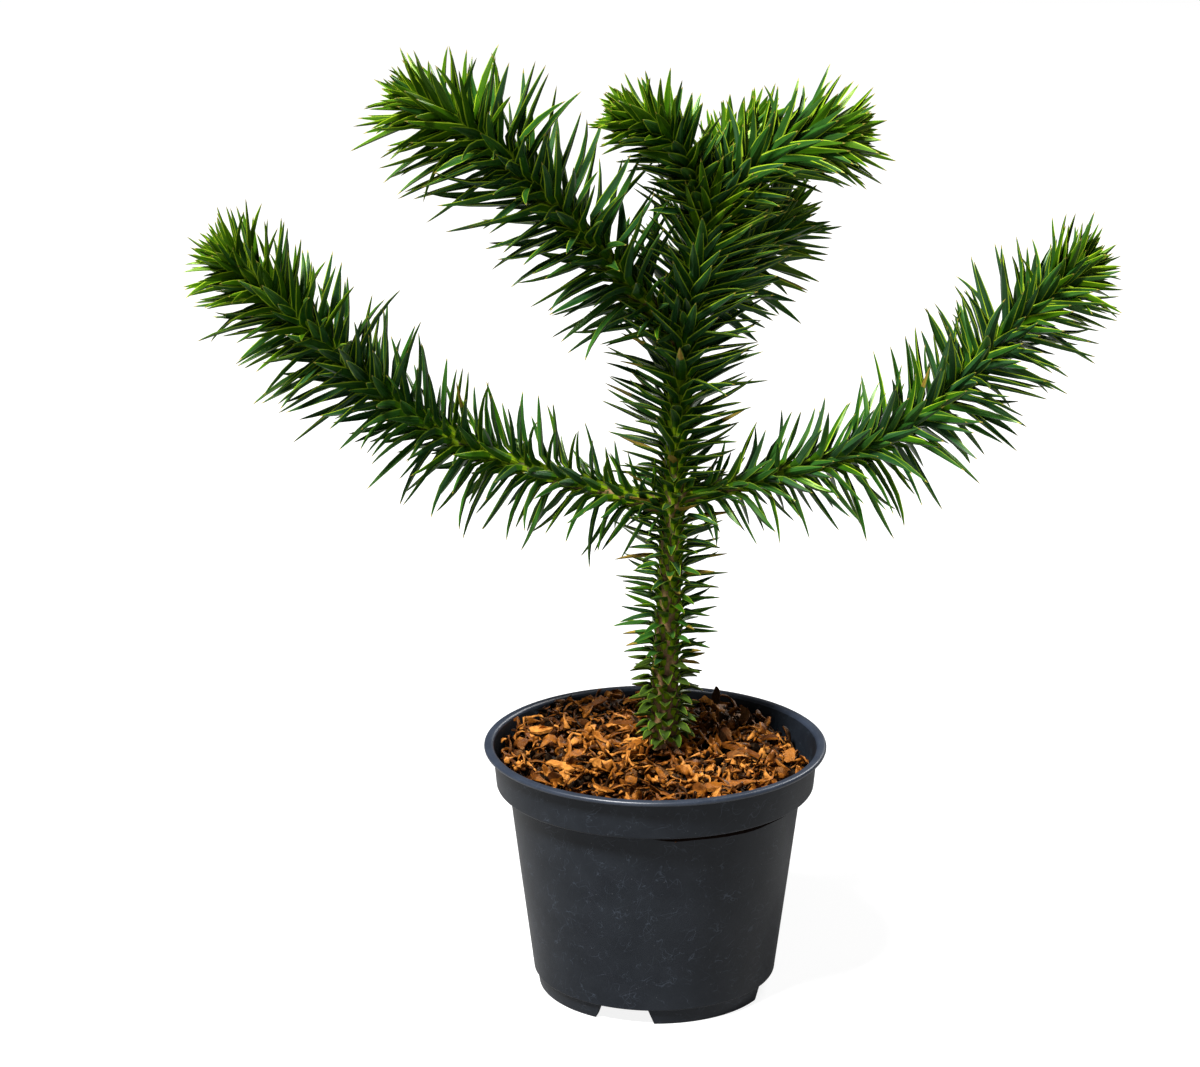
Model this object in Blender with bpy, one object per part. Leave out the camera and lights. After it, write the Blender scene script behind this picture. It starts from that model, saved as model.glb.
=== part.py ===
"""A young monkey puzzle tree standing in a round nursery pot.

Units are metres and +Z is up. The origin is on the floor, under the pot's axis.
Every limb is one smooth curve. The trunk and the boughs follow it, and the foliage is set
round it by one spiral rule: leaf after leaf turns by the golden angle, as on the real tree.
"""
import math
import random

import bpy
import numpy as np
from mathutils import Matrix, Vector
from mathutils.bvhtree import BVHTree

# ---------------------------------------------------------------- driving dimensions
CLEARANCE = 0.0003              # gap between two solids that rest on each other

POT_HEIGHT = 0.097
POT_RIM_RADIUS = 0.065
POT_WALL = 0.0012
POT_BAND_FOOT = 0.0812          # height of the lower edge of the deep band under the rim
POT_BAND_RADIUS = 0.0604        # outside, at that edge
POT_BODY_FOOT_RADIUS = 0.0464   # outside, just over the feet
POT_BODY_DRAFT = 0.126          # growth of the radius per height
POT_FOOT_HEIGHT = 0.0068
POT_FOOT_RADIUS = 0.0444
POT_FOOT_RING = 0.0042          # width of the ring that stands on the floor
POT_FLOOR_TOP = 0.0092
POT_FLOOR_THICK = 0.0016
POT_SEGMENTS = 48
FOOT_GAPS = 4
FOOT_GAP_WIDTH = math.radians(30)
FOOT_GAP_FIRST = math.radians(-90 - 15.7)
DRAIN_HOLE_RADIUS = 0.0055
DRAIN_HOLE_CIRCLE = 0.027

MIX_EDGE_HEIGHT = 0.0905        # top of the potting mix at the wall
MIX_CENTRE_HEIGHT = 0.0948
MIX_BUMP = 0.0007
MIX_SEGMENTS = 30
CHIP_COUNT = 24
CHIP_LENGTH = (0.006, 0.014)

TRUNK_FOOT = MIX_CENTRE_HEIGHT + CLEARANCE
SEAT_RADIUS = 0.0095            # flat patch of mix under the trunk
ROOT_FLARE = 0.0028             # how much the trunk's radius grows at the ground
ROOT_FLARE_HEIGHT = 0.0028      # height over which the flare fades
TRUNK_SIDES = 8
BOUGH_SIDES = 6
STATION = 0.0115                # distance between the rings of a limb

GOLDEN_ANGLE = math.radians(137.508)
LEAF_SINK = 0.0009              # how far a leaf's root lies under the skin of its stem
FIRST_LEAF = 0.004              # distance from the trunk's axis to a side limb's first leaf
LEAF_CLEARANCE = 0.00012        # between leaves of different masses
SLEEVE_WALL = 0.0013            # leaf bases, fused to a skin round the limb
LEAF_BREADTH = 0.35             # breadth over length, fuller than life, as the leaves are fewer
LEAF_THICKNESS = 0.045          # keel over length
LEAF_WIDEST = 0.30              # the widest place, as a part of the length
LEAF_ROOT = 0.34                 # breadth of the root over the greatest breadth
SECOND_TRIES = ((9, 0, 1), (-9, 0, 1), (0, 10, 0.92), (14, 8, 0.85), (-14, 8, 0.85))
CROWN_DEPTH = 0.0645            # the crown's reach to the front and to the back

# Knots of each limb's centre line, from its start to its tip
LIMB_KNOTS = {
    "trunk": ((0.0035, 0, TRUNK_FOOT), (0.0040, 0, 0.130), (0.0055, 0, 0.1655),
              (0.0066, 0.0005, 0.200), (0.0085, 0.001, 0.2345), (0.0125, 0.0015, 0.268),
              (0.0190, 0.002, 0.300)),
    "lower_left": ((0.0068, 0, 0.189), (-0.0315, -0.0045, 0.2015), (-0.069, -0.009, 0.216),
                   (-0.1025, -0.013, 0.2385), (-0.131, -0.0175, 0.2665),
                   (-0.1530, -0.0210, 0.2870)),
    "lower_right": ((0.0068, 0, 0.193), (0.043, 0.0035, 0.201), (0.078, 0.007, 0.211),
                    (0.108, 0.011, 0.230), (0.133, 0.0145, 0.2565), (0.1555, 0.018, 0.2760)),
    "upper_left": ((0.0098, 0.001, 0.2525), (-0.0145, -0.0065, 0.281), (-0.038, -0.013, 0.308),
                   (-0.0620, -0.0190, 0.332), (-0.0840, -0.024, 0.3465)),
    "top_right": ((0.0190, 0.002, 0.300), (0.0335, 0.0025, 0.3175), (0.049, 0.0035, 0.3260),
                  (0.064, 0.004, 0.3295)),
    "top_left": ((0.0175, 0.0015, 0.296), (0.0115, -0.0045, 0.318), (0.003, -0.0095, 0.3325),
                 (-0.0075, -0.0130, 0.3405)),
    "top_back": ((0.0180, 0.002, 0.298), (0.0215, 0.011, 0.312), (0.0275, 0.021, 0.3215),
                 (0.036, 0.030, 0.327)),
    "back_right": ((0.0120, 0.001, 0.265), (0.0235, 0.012, 0.274), (0.0345, 0.0235, 0.283),
                   (0.0445, 0.0335, 0.291)),
}
# Outer radius of each limb, leaf bases included, from its start to its tip
LIMB_RADII = {
    "trunk": (0.0061, 0.0052, 0.0047, 0.0044, 0.0042, 0.0040),
    "lower_left": (0.0040, 0.0037, 0.0034, 0.0031, 0.0026, 0.0012),
    "lower_right": (0.0040, 0.0037, 0.0034, 0.0031, 0.0026, 0.0012),
    "upper_left": (0.0042, 0.0039, 0.0036, 0.0032, 0.0026, 0.0012),
    "top_right": (0.0036, 0.0034, 0.0031, 0.0026, 0.0012),
    "top_left": (0.0034, 0.0032, 0.0029, 0.0024, 0.0012),
    "top_back": (0.0032, 0.0029, 0.0025, 0.0020, 0.0010),
    "back_right": (0.0034, 0.0031, 0.0027, 0.0022, 0.0012),
}
# Leaves of each limb: how many, then length, angle from the limb and breadth from start to tip
LEAVES = {
    "trunk": (126, (0.0058, 0.0080, 0.0150, 0.018, 0.0215, 0.0275, 0.030, 0.030, 0.0285),
              (96, 84, 77, 72, 69, 66, 62, 57, 50)),
    "lower_left": (84, (0.0215, 0.025, 0.0265, 0.028, 0.0285, 0.026, 0.0198),
                   (64, 64, 63, 63, 60, 50, 24)),
    "lower_right": (80, (0.0215, 0.025, 0.0265, 0.028, 0.0285, 0.026, 0.0192),
                    (64, 64, 63, 63, 60, 50, 24)),
    "upper_left": (70, (0.027, 0.031, 0.0325, 0.0320, 0.0315, 0.0235), (62, 62, 62, 60, 50, 25)),
    "top_right": (40, (0.026, 0.0275, 0.0275, 0.026, 0.0205), (54, 52, 48, 40, 22)),
    "top_left": (35, (0.024, 0.0255, 0.0255, 0.024, 0.0200), (50, 48, 44, 38, 22)),
    "top_back": (28, (0.022, 0.0235, 0.0235, 0.0215, 0.0190), (50, 48, 44, 38, 24)),
    "back_right": (32, (0.026, 0.0280, 0.0280, 0.0255, 0.0205), (60, 58, 53, 44, 24)),
}
UNDERSIDE_OPENING = math.radians(11)    # leaves on a limb's underside stand off further
# Where a bough ends inside its foliage, and where a sleeve of foliage starts and ends,
# as stations along the limb
BOUGHS = {"lower_left": 8, "lower_right": 8, "upper_left": 6}
TRUNK_SLEEVES = {"trunk_lower_foliage": (1, 9), "trunk_upper_foliage": (9, 14),
                 "leader_foliage": (14, None)}
SHOOTS = ("top_right", "top_left", "top_back", "back_right")

COLOURS = {
    "black_plastic": ((0.020, 0.023, 0.027, 1), 0.45),
    "potting_mix": ((0.16, 0.065, 0.022, 1), 0.95),
    "bark": ((0.13, 0.085, 0.035, 1), 0.85),
    "foliage": ((0.030, 0.105, 0.028, 1), 0.40),
    "young_foliage": ((0.075, 0.22, 0.025, 1), 0.40),
}


# ---------------------------------------------------------------- materials and objects
def make_materials():
    materials = {}
    for name, (colour, roughness) in COLOURS.items():
        material = bpy.data.materials.new(name)
        material.use_nodes = True
        shader = material.node_tree.nodes["Principled BSDF"]
        shader.inputs["Base Color"].default_value = colour
        shader.inputs["Roughness"].default_value = roughness
        materials[name] = material
    return materials


def add_object(name, vertices, faces, material=None):
    mesh = bpy.data.meshes.new(name)
    mesh.from_pydata([tuple(v) for v in vertices], [], faces)
    mesh.update()
    obj = bpy.data.objects.new(name, mesh)
    bpy.context.scene.collection.objects.link(obj)
    if material:
        mesh.materials.append(material)
    return obj


def combine(target, tools, operation, solver="MANIFOLD"):
    """One Boolean of the target with all the tools, applied, and the tools removed."""
    group = bpy.data.collections.new("tools")
    bpy.context.scene.collection.children.link(group)
    for tool in tools:
        group.objects.link(tool)
    cut = target.modifiers.new(operation.lower(), "BOOLEAN")
    cut.operation = operation
    cut.operand_type = "COLLECTION"
    cut.collection = group
    cut.solver = solver
    bpy.context.view_layer.objects.active = target
    bpy.ops.object.modifier_apply(modifier=cut.name)
    for tool in tools:
        bpy.data.objects.remove(tool)
    bpy.data.collections.remove(group)


def keep_largest_body(obj):
    """Drop the scraps that a cut leaves beside the main body."""
    mesh = obj.data
    links = [[] for _ in mesh.vertices]
    for edge in mesh.edges:
        a, b = edge.vertices
        links[a].append(b)
        links[b].append(a)
    label = [-1] * len(mesh.vertices)
    sizes = []
    for start in range(len(label)):
        if label[start] >= 0:
            continue
        label[start] = len(sizes)
        stack, size = [start], 0
        while stack:
            vertex = stack.pop()
            size += 1
            for other in links[vertex]:
                if label[other] < 0:
                    label[other] = len(sizes)
                    stack.append(other)
        sizes.append(size)
    if len(sizes) < 2:
        return
    main = sizes.index(max(sizes))
    kept = [v.index for v in mesh.vertices if label[v.index] == main]
    renumber = {old: new for new, old in enumerate(kept)}
    faces = [[renumber[v] for v in face.vertices] for face in mesh.polygons
             if label[face.vertices[0]] == main]
    points = [mesh.vertices[v].co.copy() for v in kept]
    mesh.clear_geometry()
    mesh.from_pydata(points, [], faces)
    mesh.update()


# ---------------------------------------------------------------- pot
def turned_body(profile, segments):
    """Vertices and faces of a closed ring-shaped profile turned round the Z axis.

    A profile point with no radius is a pole.
    """
    vertices, rings = [], []
    for radius, height in profile:
        if radius == 0:
            rings.append([len(vertices)])
            vertices.append(Vector((0, 0, height)))
            continue
        rings.append(range(len(vertices), len(vertices) + segments))
        for k in range(segments):
            turn = 2 * math.pi * k / segments
            vertices.append(Vector((radius * math.cos(turn), radius * math.sin(turn), height)))
    faces = []
    for below, above in zip(rings, rings[1:]):
        for k in range(segments):
            after = (k + 1) % segments
            if len(below) == 1 and len(above) > 1:
                faces.append((below[0], above[after], above[k]))
            elif len(above) == 1 and len(below) > 1:
                faces.append((below[k], below[after], above[0]))
            elif len(above) > 1:
                faces.append((below[k], below[after], above[after], above[k]))
    return vertices, faces


def body_radius(height):
    return POT_BODY_FOOT_RADIUS + POT_BODY_DRAFT * (height - POT_FOOT_HEIGHT)


def pot_profile():
    """From the underside of the raised floor, out and up to the rim, then down inside."""
    floor_under = POT_FLOOR_TOP - POT_FLOOR_THICK
    ring_inner = POT_FOOT_RADIUS - POT_FOOT_RING
    ledge = POT_BAND_FOOT
    rim = POT_HEIGHT
    band_top = POT_BAND_RADIUS + 0.0012
    return [
        (0, floor_under), (ring_inner - 0.0006, floor_under), (ring_inner, 0),
        (POT_FOOT_RADIUS, 0), (POT_FOOT_RADIUS + 0.0008, POT_FOOT_HEIGHT - 0.0004),
        (POT_BODY_FOOT_RADIUS, POT_FOOT_HEIGHT),
        (body_radius(ledge - 0.0016), ledge - 0.0016), (POT_BAND_RADIUS - 0.0010, ledge - 0.0004),
        (POT_BAND_RADIUS, ledge + 0.0010), (band_top, rim - 0.0024),
        (POT_RIM_RADIUS - 0.0010, rim - 0.0020), (POT_RIM_RADIUS, rim - 0.0012),
        (POT_RIM_RADIUS - 0.0002, rim - 0.0003), (POT_RIM_RADIUS - 0.0010, rim),
        (band_top + 0.0008, rim), (band_top - 0.0004, rim - 0.0008),
        (band_top - POT_WALL, rim - 0.0030), (POT_BAND_RADIUS - POT_WALL, ledge + 0.0018),
        (body_radius(ledge) - POT_WALL, ledge),
        (body_radius(POT_FLOOR_TOP) - POT_WALL - 0.0006, POT_FLOOR_TOP), (0, POT_FLOOR_TOP),
    ]


def foot_gap_cutter(turn):
    """A wedge, narrower at its top, that opens the ring of feet on one side."""
    inner, outer = POT_FOOT_RADIUS - POT_FOOT_RING - 0.002, POT_FOOT_RADIUS + 0.004
    roof = POT_FOOT_HEIGHT - 0.0006
    corners = []
    for height, widening in ((-0.002, 0.06), (roof, -0.20)):
        half = FOOT_GAP_WIDTH / 2 * (1 + widening)
        for radius, side in ((inner, -1), (outer, -1), (outer, 1), (inner, 1)):
            angle = turn + side * half
            corners.append(Vector((radius * math.cos(angle), radius * math.sin(angle), height)))
    faces = [(3, 2, 1, 0), (4, 5, 6, 7), (0, 1, 5, 4), (1, 2, 6, 5), (2, 3, 7, 6), (3, 0, 4, 7)]
    return add_object("gap_cutter", corners, faces)


def drain_hole_cutter(x, y, sides=12):
    profile = [(0, 0), (DRAIN_HOLE_RADIUS, 0), (DRAIN_HOLE_RADIUS, 0.02), (0, 0.02)]
    vertices, faces = turned_body(profile, sides)
    return add_object("drain_cutter", [v + Vector((x, y, 0.002)) for v in vertices], faces)


def make_pot(material):
    pot = add_object("pot", *turned_body(pot_profile(), POT_SEGMENTS), material)
    pot.data.transform(Matrix.Rotation(FOOT_GAP_FIRST, 4, "Z"))
    step = 2 * math.pi / FOOT_GAPS
    cutters = [drain_hole_cutter(0, 0)]
    for k in range(FOOT_GAPS):
        gap = FOOT_GAP_FIRST + k * step
        cutters.append(foot_gap_cutter(gap))
        hole = gap + step / 2
        cutters.append(drain_hole_cutter(DRAIN_HOLE_CIRCLE * math.cos(hole),
                                         DRAIN_HOLE_CIRCLE * math.sin(hole)))
    combine(pot, cutters, "DIFFERENCE")
    pot.data.shade_smooth()
    pot.data.set_sharp_from_angle(angle=math.radians(35))
    return pot


# ---------------------------------------------------------------- potting mix
def mix_profile():
    """From the middle of its underside, up inside the pot's wall, to the middle of its top."""
    gap = POT_WALL + CLEARANCE * 1.3
    bottom = POT_FLOOR_TOP + CLEARANCE
    ledge = POT_BAND_FOOT
    top_radius = POT_BAND_RADIUS - gap + 0.0004
    seat = SEAT_RADIUS / top_radius
    profile = [(0, bottom), (body_radius(bottom) - gap - 0.0008, bottom),
               (body_radius(ledge) - gap, ledge + 0.0002),
               (POT_BAND_RADIUS - gap - 0.0004, ledge + 0.0024), (top_radius, MIX_EDGE_HEIGHT)]
    for part in (0.93, 0.80, 0.64, 0.48, 0.32, seat):
        rise = (MIX_CENTRE_HEIGHT - MIX_EDGE_HEIGHT) * (1 - part ** 2)
        profile.append((top_radius * part, MIX_EDGE_HEIGHT + rise))
    profile.append((0, MIX_CENTRE_HEIGHT))
    return profile


def bark_chip(rng, x, y, height):
    """One flat sliver of bark with splintered ends, lying at a slant."""
    length = rng.uniform(*CHIP_LENGTH)
    width = length * rng.uniform(0.22, 0.42)
    thick = rng.uniform(0.0012, 0.0022)
    outline = ((-0.5, -0.30), (-0.15, -0.52), (0.40, -0.42), (0.5, 0.12), (0.15, 0.5), (-0.42, 0.36))
    turn = (Matrix.Translation((x, y, height)) @ Matrix.Rotation(rng.uniform(0, math.tau), 4, "Z")
            @ Matrix.Rotation(rng.gauss(0, 0.42), 4, "Y") @ Matrix.Rotation(rng.gauss(0, 0.3), 4, "X"))
    points = [turn @ Vector((length * u, width * v, level * thick))
              for level in (-0.5, 0.5) for u, v in outline]
    n = len(outline)
    sides = [(k, (k + 1) % n, n + (k + 1) % n, n + k) for k in range(n)]
    return add_object("chip", points, [tuple(reversed(range(n))), tuple(range(n, 2 * n))] + sides)


def make_potting_mix(material):
    rng = random.Random(11)
    vertices, faces = turned_body(mix_profile(), MIX_SEGMENTS)
    for v in vertices:
        radius = math.hypot(v.x, v.y)
        if v.z > MIX_EDGE_HEIGHT + 0.0001 and radius > SEAT_RADIUS:
            v.z += rng.uniform(-MIX_BUMP, MIX_BUMP)
    for v in vertices[-MIX_SEGMENTS - 1:]:
        v.z = MIX_CENTRE_HEIGHT
    mix = add_object("potting_mix", vertices, faces, material)
    mix.data.transform(Matrix.Rotation(FOOT_GAP_FIRST, 4, "Z"))
    chips = []
    for k in range(CHIP_COUNT):
        radius = 0.0515 * math.sqrt((k + 3.5) / (CHIP_COUNT + 3))
        turn = k * GOLDEN_ANGLE
        rise = (MIX_CENTRE_HEIGHT - MIX_EDGE_HEIGHT) * (1 - (radius / POT_BAND_RADIUS) ** 2)
        height = MIX_EDGE_HEIGHT + rise + rng.uniform(0.0002, 0.0016)
        chips.append(bark_chip(rng, radius * math.cos(turn), radius * math.sin(turn), height))
    combine(mix, chips, "UNION")
    keep_largest_body(mix)
    return mix


# ---------------------------------------------------------------- limbs
class Limb:
    """A limb's centre line, sampled at even stations, with a frame at each of them."""

    def __init__(self, name):
        dense = smooth_curve(LIMB_KNOTS[name])
        length = np.r_[0, np.cumsum(np.linalg.norm(np.diff(dense, axis=0), axis=1))]
        self.length = length[-1]
        count = round(self.length / STATION)
        self.along = np.linspace(0, self.length, count + 1)
        self.dense, self.dense_along = dense, length
        self.radii = LIMB_RADII[name]
        self.sides = TRUNK_SIDES if name == "trunk" else BOUGH_SIDES
        self.side = perpendicular(self.direction(0))
        self.frames = [self.frame(s) for s in self.along]

    def point(self, s):
        return Vector([np.interp(s, self.dense_along, self.dense[:, k]) for k in range(3)])

    def direction(self, s):
        reach = STATION / 4
        ahead = self.point(min(s + reach, self.length)) - self.point(max(s - reach, 0))
        return ahead.normalized()

    def radius(self, s):
        return float(np.interp(s / self.length, np.linspace(0, 1, len(self.radii)), self.radii))

    def frame(self, s):
        """Tangent, side and up at s. Up stays near the world's Z on a lying limb."""
        tangent = self.direction(s)
        up = (self.side - tangent * self.side.dot(tangent)).normalized()
        return tangent, up.cross(tangent), up


def perpendicular(tangent):
    """The direction nearest to straight up, or to the back on an upright limb."""
    guide = Vector((0, 1, 0)) if tangent.z > 0.95 else Vector((0, 0, 1))
    return (guide - tangent * guide.dot(tangent)).normalized()


def smooth_curve(knots, steps=12):
    """A Catmull-Rom curve through the knots, as an array of points."""
    knots = np.array(knots, dtype=float)
    knots = np.vstack([2 * knots[0] - knots[1], knots, 2 * knots[-1] - knots[-2]])
    points = []
    for a, b, c, d in zip(knots, knots[1:], knots[2:], knots[3:]):
        for t in np.arange(steps) / steps:
            points.append(0.5 * (2 * b + (c - a) * t + (2 * a - 5 * b + 4 * c - d) * t ** 2
                                 + (3 * b - a - 3 * c + d) * t ** 3))
    points.append(knots[-2])
    return np.array(points)


def ring(limb, station, radius, shift=0.0):
    """The corners of one ring round the limb. shift moves it along the limb."""
    tangent, side, up = limb.frames[station]
    centre = limb.point(limb.along[station]) + tangent * shift
    turns = [2 * math.pi * (k + 0.5) / limb.sides for k in range(limb.sides)]
    return [centre + (side * math.cos(t) + up * math.sin(t)) * radius for t in turns]


def stack_rings(rings, closed=False):
    """Skin a row of rings. closed joins the last ring to the first, else the ends are capped."""
    n = len(rings[0])
    vertices = [corner for one in rings for corner in one]
    faces = []
    pairs = len(rings) if closed else len(rings) - 1
    for r in range(pairs):
        low, high = r * n, (r + 1) % len(rings) * n
        for k in range(n):
            after = (k + 1) % n
            faces.append((low + k, low + after, high + after, high + k))
    if not closed:
        faces.append(tuple(reversed(range(n))))
        faces.append(tuple(range(len(vertices) - n, len(vertices))))
    return vertices, faces


def solid_limb(limb, name, radius, first, last, shifts=(0.0, 0.0), material=None):
    """A tapering solid along the limb. radius is a function of the distance along it.

    shifts moves its first and its last ring along the limb.
    """
    rings = []
    for station in range(first, last + 1):
        shift = {first: shifts[0], last: shifts[1]}.get(station, 0.0)
        rings.append(ring(limb, station, radius(limb.along[station]), shift))
    return add_object(name, *stack_rings(rings), material)


def sleeve(limb, name, first, last, material):
    """A skin of leaf bases round the limb, open at both ends, clear of the wood inside."""
    stations = list(range(first, last + 1))

    def rings(radius):
        return [ring(limb, k, radius(limb.along[k]), CLEARANCE if k == first else 0.0)
                for k in stations]

    outside = rings(limb.radius)
    inside = rings(lambda s: wood_radius(limb, s) + CLEARANCE)
    return add_object(name, *stack_rings(outside + inside[::-1], closed=True), material)


def wood_radius(limb, s):
    return limb.radius(s) - SLEEVE_WALL - CLEARANCE


def grown(limb, name, radius, first, last):
    """The limb's solid made larger by the clearance, as a cutter for its neighbours."""
    return solid_limb(limb, name, lambda s: radius(s) + CLEARANCE, first, last, (0, CLEARANCE))


# ---------------------------------------------------------------- leaves
def leaf_solid(root, along, across, length, margin=0.0):
    """A keeled blade of ten triangles: a small root, the widest place, and a sharp tip."""
    under = across.cross(along)
    half = length * LEAF_BREADTH / 2 + margin
    keel = under * (length * LEAF_THICKNESS + margin)
    top = -under * margin
    start = root - along * margin
    widest = root + along * length * LEAF_WIDEST
    points = [start - across * half * LEAF_ROOT + top, start + across * half * LEAF_ROOT + top,
              start + keel, widest - across * half + top, widest + across * half + top,
              widest + keel, root + along * (length + margin)]
    faces = [(0, 1, 2), (1, 0, 3), (1, 3, 4), (2, 1, 4), (2, 4, 5), (0, 2, 5), (0, 5, 3),
             (4, 3, 6), (5, 4, 6), (3, 5, 6)]
    return points, faces


class Crown:
    """Places the leaves of all the limbs and keeps every mass clear of the others."""

    def __init__(self, solids):
        self.solids = {obj.name: tree_of([obj]) for obj in solids}
        self.leaves = {}
        self.rng = random.Random(5)

    def grow(self, limb_name, limb, masses):
        """Leaves of one limb by the spiral rule. masses maps each mass to its stretch."""
        count, lengths, angles = LEAVES[limb_name]
        places = np.linspace(0, 1, len(lengths))
        for k in range(count):
            part = (k + 0.5) / count
            s = part * limb.length
            mass = next((name for name, (a, b) in masses.items() if a <= s <= b), None)
            length = float(np.interp(part, places, lengths)) * self.rng.uniform(0.94, 1.06)
            angle = math.radians(float(np.interp(part, places, angles)) + self.rng.uniform(-4, 4))
            if mass is None:
                continue
            tangent, side, up = limb.frame(s)
            for swing, opening, shrink in ((0, 0, 1),) + SECOND_TRIES:
                turn = k * GOLDEN_ANGLE + math.radians(swing)
                radial = side * math.cos(turn) + up * math.sin(turn)
                under = max(0.0, -radial.z) * (1 - abs(tangent.z)) * min(1.0, 4 * (1 - part))
                open_angle = angle + UNDERSIDE_OPENING * under + math.radians(opening)
                along = tangent * math.cos(open_angle) + radial * math.sin(open_angle)
                across = tangent.cross(radial).normalized()
                root = limb.point(s) + radial * (limb.radius(s) - LEAF_SINK)
                if self.place(mass, root, along, across, length * shrink * (1 + 0.10 * under)):
                    break

    def place(self, mass, root, along, across, length):
        """Keep the leaf if it stays in the crown and clear of every other solid."""
        if abs(root.y + along.y * length) > CROWN_DEPTH:
            return False
        probe = BVHTree.FromPolygons(*leaf_solid(root, along, across, length, LEAF_CLEARANCE))
        if any(name != mass and probe.overlap(tree) for name, tree in self.solids.items()):
            return False
        for name, others in self.leaves.items():
            if name != mass and any(probe.overlap(other) for _, other in others):
                return False
        shape = leaf_solid(root, along, across, length)
        self.leaves.setdefault(mass, []).append((shape, BVHTree.FromPolygons(*shape)))
        return True

    def fuse(self, mass, core):
        tools = [add_object("leaf", *shape) for shape, _ in self.leaves[mass]]
        combine(core, tools, "UNION")
        keep_largest_body(core)
        print(mass, len(tools), "leaves,", len(core.data.polygons), "faces")


def tree_of(objects):
    points, faces = [], []
    for obj in objects:
        base = len(points)
        points += [v.co for v in obj.data.vertices]
        faces += [tuple(base + v for v in face.vertices) for face in obj.data.polygons]
    return BVHTree.FromPolygons(points, faces)


# ---------------------------------------------------------------- the plant
def make_plant(materials, pot, mix):
    bark, foliage, young = (materials[k] for k in ("bark", "foliage", "young_foliage"))
    limbs = {name: Limb(name) for name in LIMB_KNOTS}
    trunk_limb = limbs["trunk"]
    top = len(trunk_limb.along) - 1

    def wood(limb):
        return lambda s: wood_radius(limb, s)

    def flared(s):
        """The trunk's wood, widened where it meets the ground."""
        return wood_radius(trunk_limb, s) + ROOT_FLARE * math.exp(-s / ROOT_FLARE_HEIGHT)

    trunk = solid_limb(trunk_limb, "trunk", flared, 0, top, material=bark)
    solids = [pot, mix, trunk]
    cutters = {"trunk": lambda: grown(trunk_limb, "cutter", flared, 0, top)}

    # boughs, cut to a saddle against the trunk
    for name, last in BOUGHS.items():
        limb = limbs[name]
        bough = solid_limb(limb, name + "_bough", wood(limb), 0, last, material=bark)
        combine(bough, [cutters["trunk"]()], "DIFFERENCE")
        keep_largest_body(bough)
        solids.append(bough)
        cutters[name] = lambda limb=limb, last=last: grown(limb, "cutter", wood(limb), 0, last)

    # stems of the shoots that have no bare bough, each clear of the ones before it
    cores = {}
    for name in SHOOTS:
        limb = limbs[name]
        last = len(limb.along) - 1
        stem = solid_limb(limb, name + "_foliage", limb.radius, 0, last, material=young)
        combine(stem, [make() for make in cutters.values()], "DIFFERENCE")
        keep_largest_body(stem)
        cores[stem.name] = stem
        cutters[name] = lambda limb=limb, last=last: grown(limb, "cutter", limb.radius, 0, last)

    # sleeves round the trunk, cut clear of everything that leaves it
    masses = {name: {} for name in limbs}
    side_limbs = [make for name, make in cutters.items() if name != "trunk"]
    for name, (first, last) in TRUNK_SLEEVES.items():
        last = top if last is None else last
        skin = sleeve(trunk_limb, name, first, last, foliage)
        combine(skin, [make() for make in side_limbs], "DIFFERENCE")
        keep_largest_body(skin)
        cores[name] = skin
        masses["trunk"][name] = (trunk_limb.along[first], trunk_limb.along[last])

    # sleeves round the boughs, and the masses beyond the boughs' tips
    for name, tip in BOUGHS.items():
        limb = limbs[name]
        last = len(limb.along) - 1
        inner = sleeve(limb, name + "_inner_foliage", 0, tip, foliage)
        trunk_skin = grown(trunk_limb, "cutter", trunk_limb.radius, 0, top)
        combine(inner, [trunk_skin], "DIFFERENCE")
        keep_largest_body(inner)
        outer = solid_limb(limb, name + "_outer_foliage", limb.radius, tip, last,
                           shifts=(CLEARANCE, 0), material=young)
        cores[inner.name], cores[outer.name] = inner, outer
        masses[name][inner.name] = (FIRST_LEAF, limb.along[tip])
        masses[name][outer.name] = (limb.along[tip], limb.length)
    for name in SHOOTS:
        masses[name][name + "_foliage"] = (FIRST_LEAF, limbs[name].length)

    crown = Crown(solids + list(cores.values()))
    for name, limb in limbs.items():
        crown.grow(name, limb, masses[name])
    for mass, core in cores.items():
        crown.fuse(mass, core)


def main():
    for obj in list(bpy.data.objects):
        bpy.data.objects.remove(obj)
    materials = make_materials()
    pot = make_pot(materials["black_plastic"])
    mix = make_potting_mix(materials["potting_mix"])
    make_plant(materials, pot, mix)


main()
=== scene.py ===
# %% [markdown]
# # A young monkey puzzle tree in a nursery pot
#
# A young monkey puzzle tree is a stack of stiff, sharp scale leaves wound round every stem in one
# spiral. It stands in a thin black nursery pot, on a bed of shredded bark. This lesson dresses the
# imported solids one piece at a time: the pot, the bark mulch, the leaves and last the stems.
#
# The first cell loads the solids. They are a fixed frame, in metres, with Z up and the origin
# under the middle of the pot. The box of the solids is kept, because the finished plant has to
# stay in it.

# %% Load the frame
import math
import random

import bmesh
import bpy
import numpy as np
from mathutils import Matrix, Vector, noise


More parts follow.
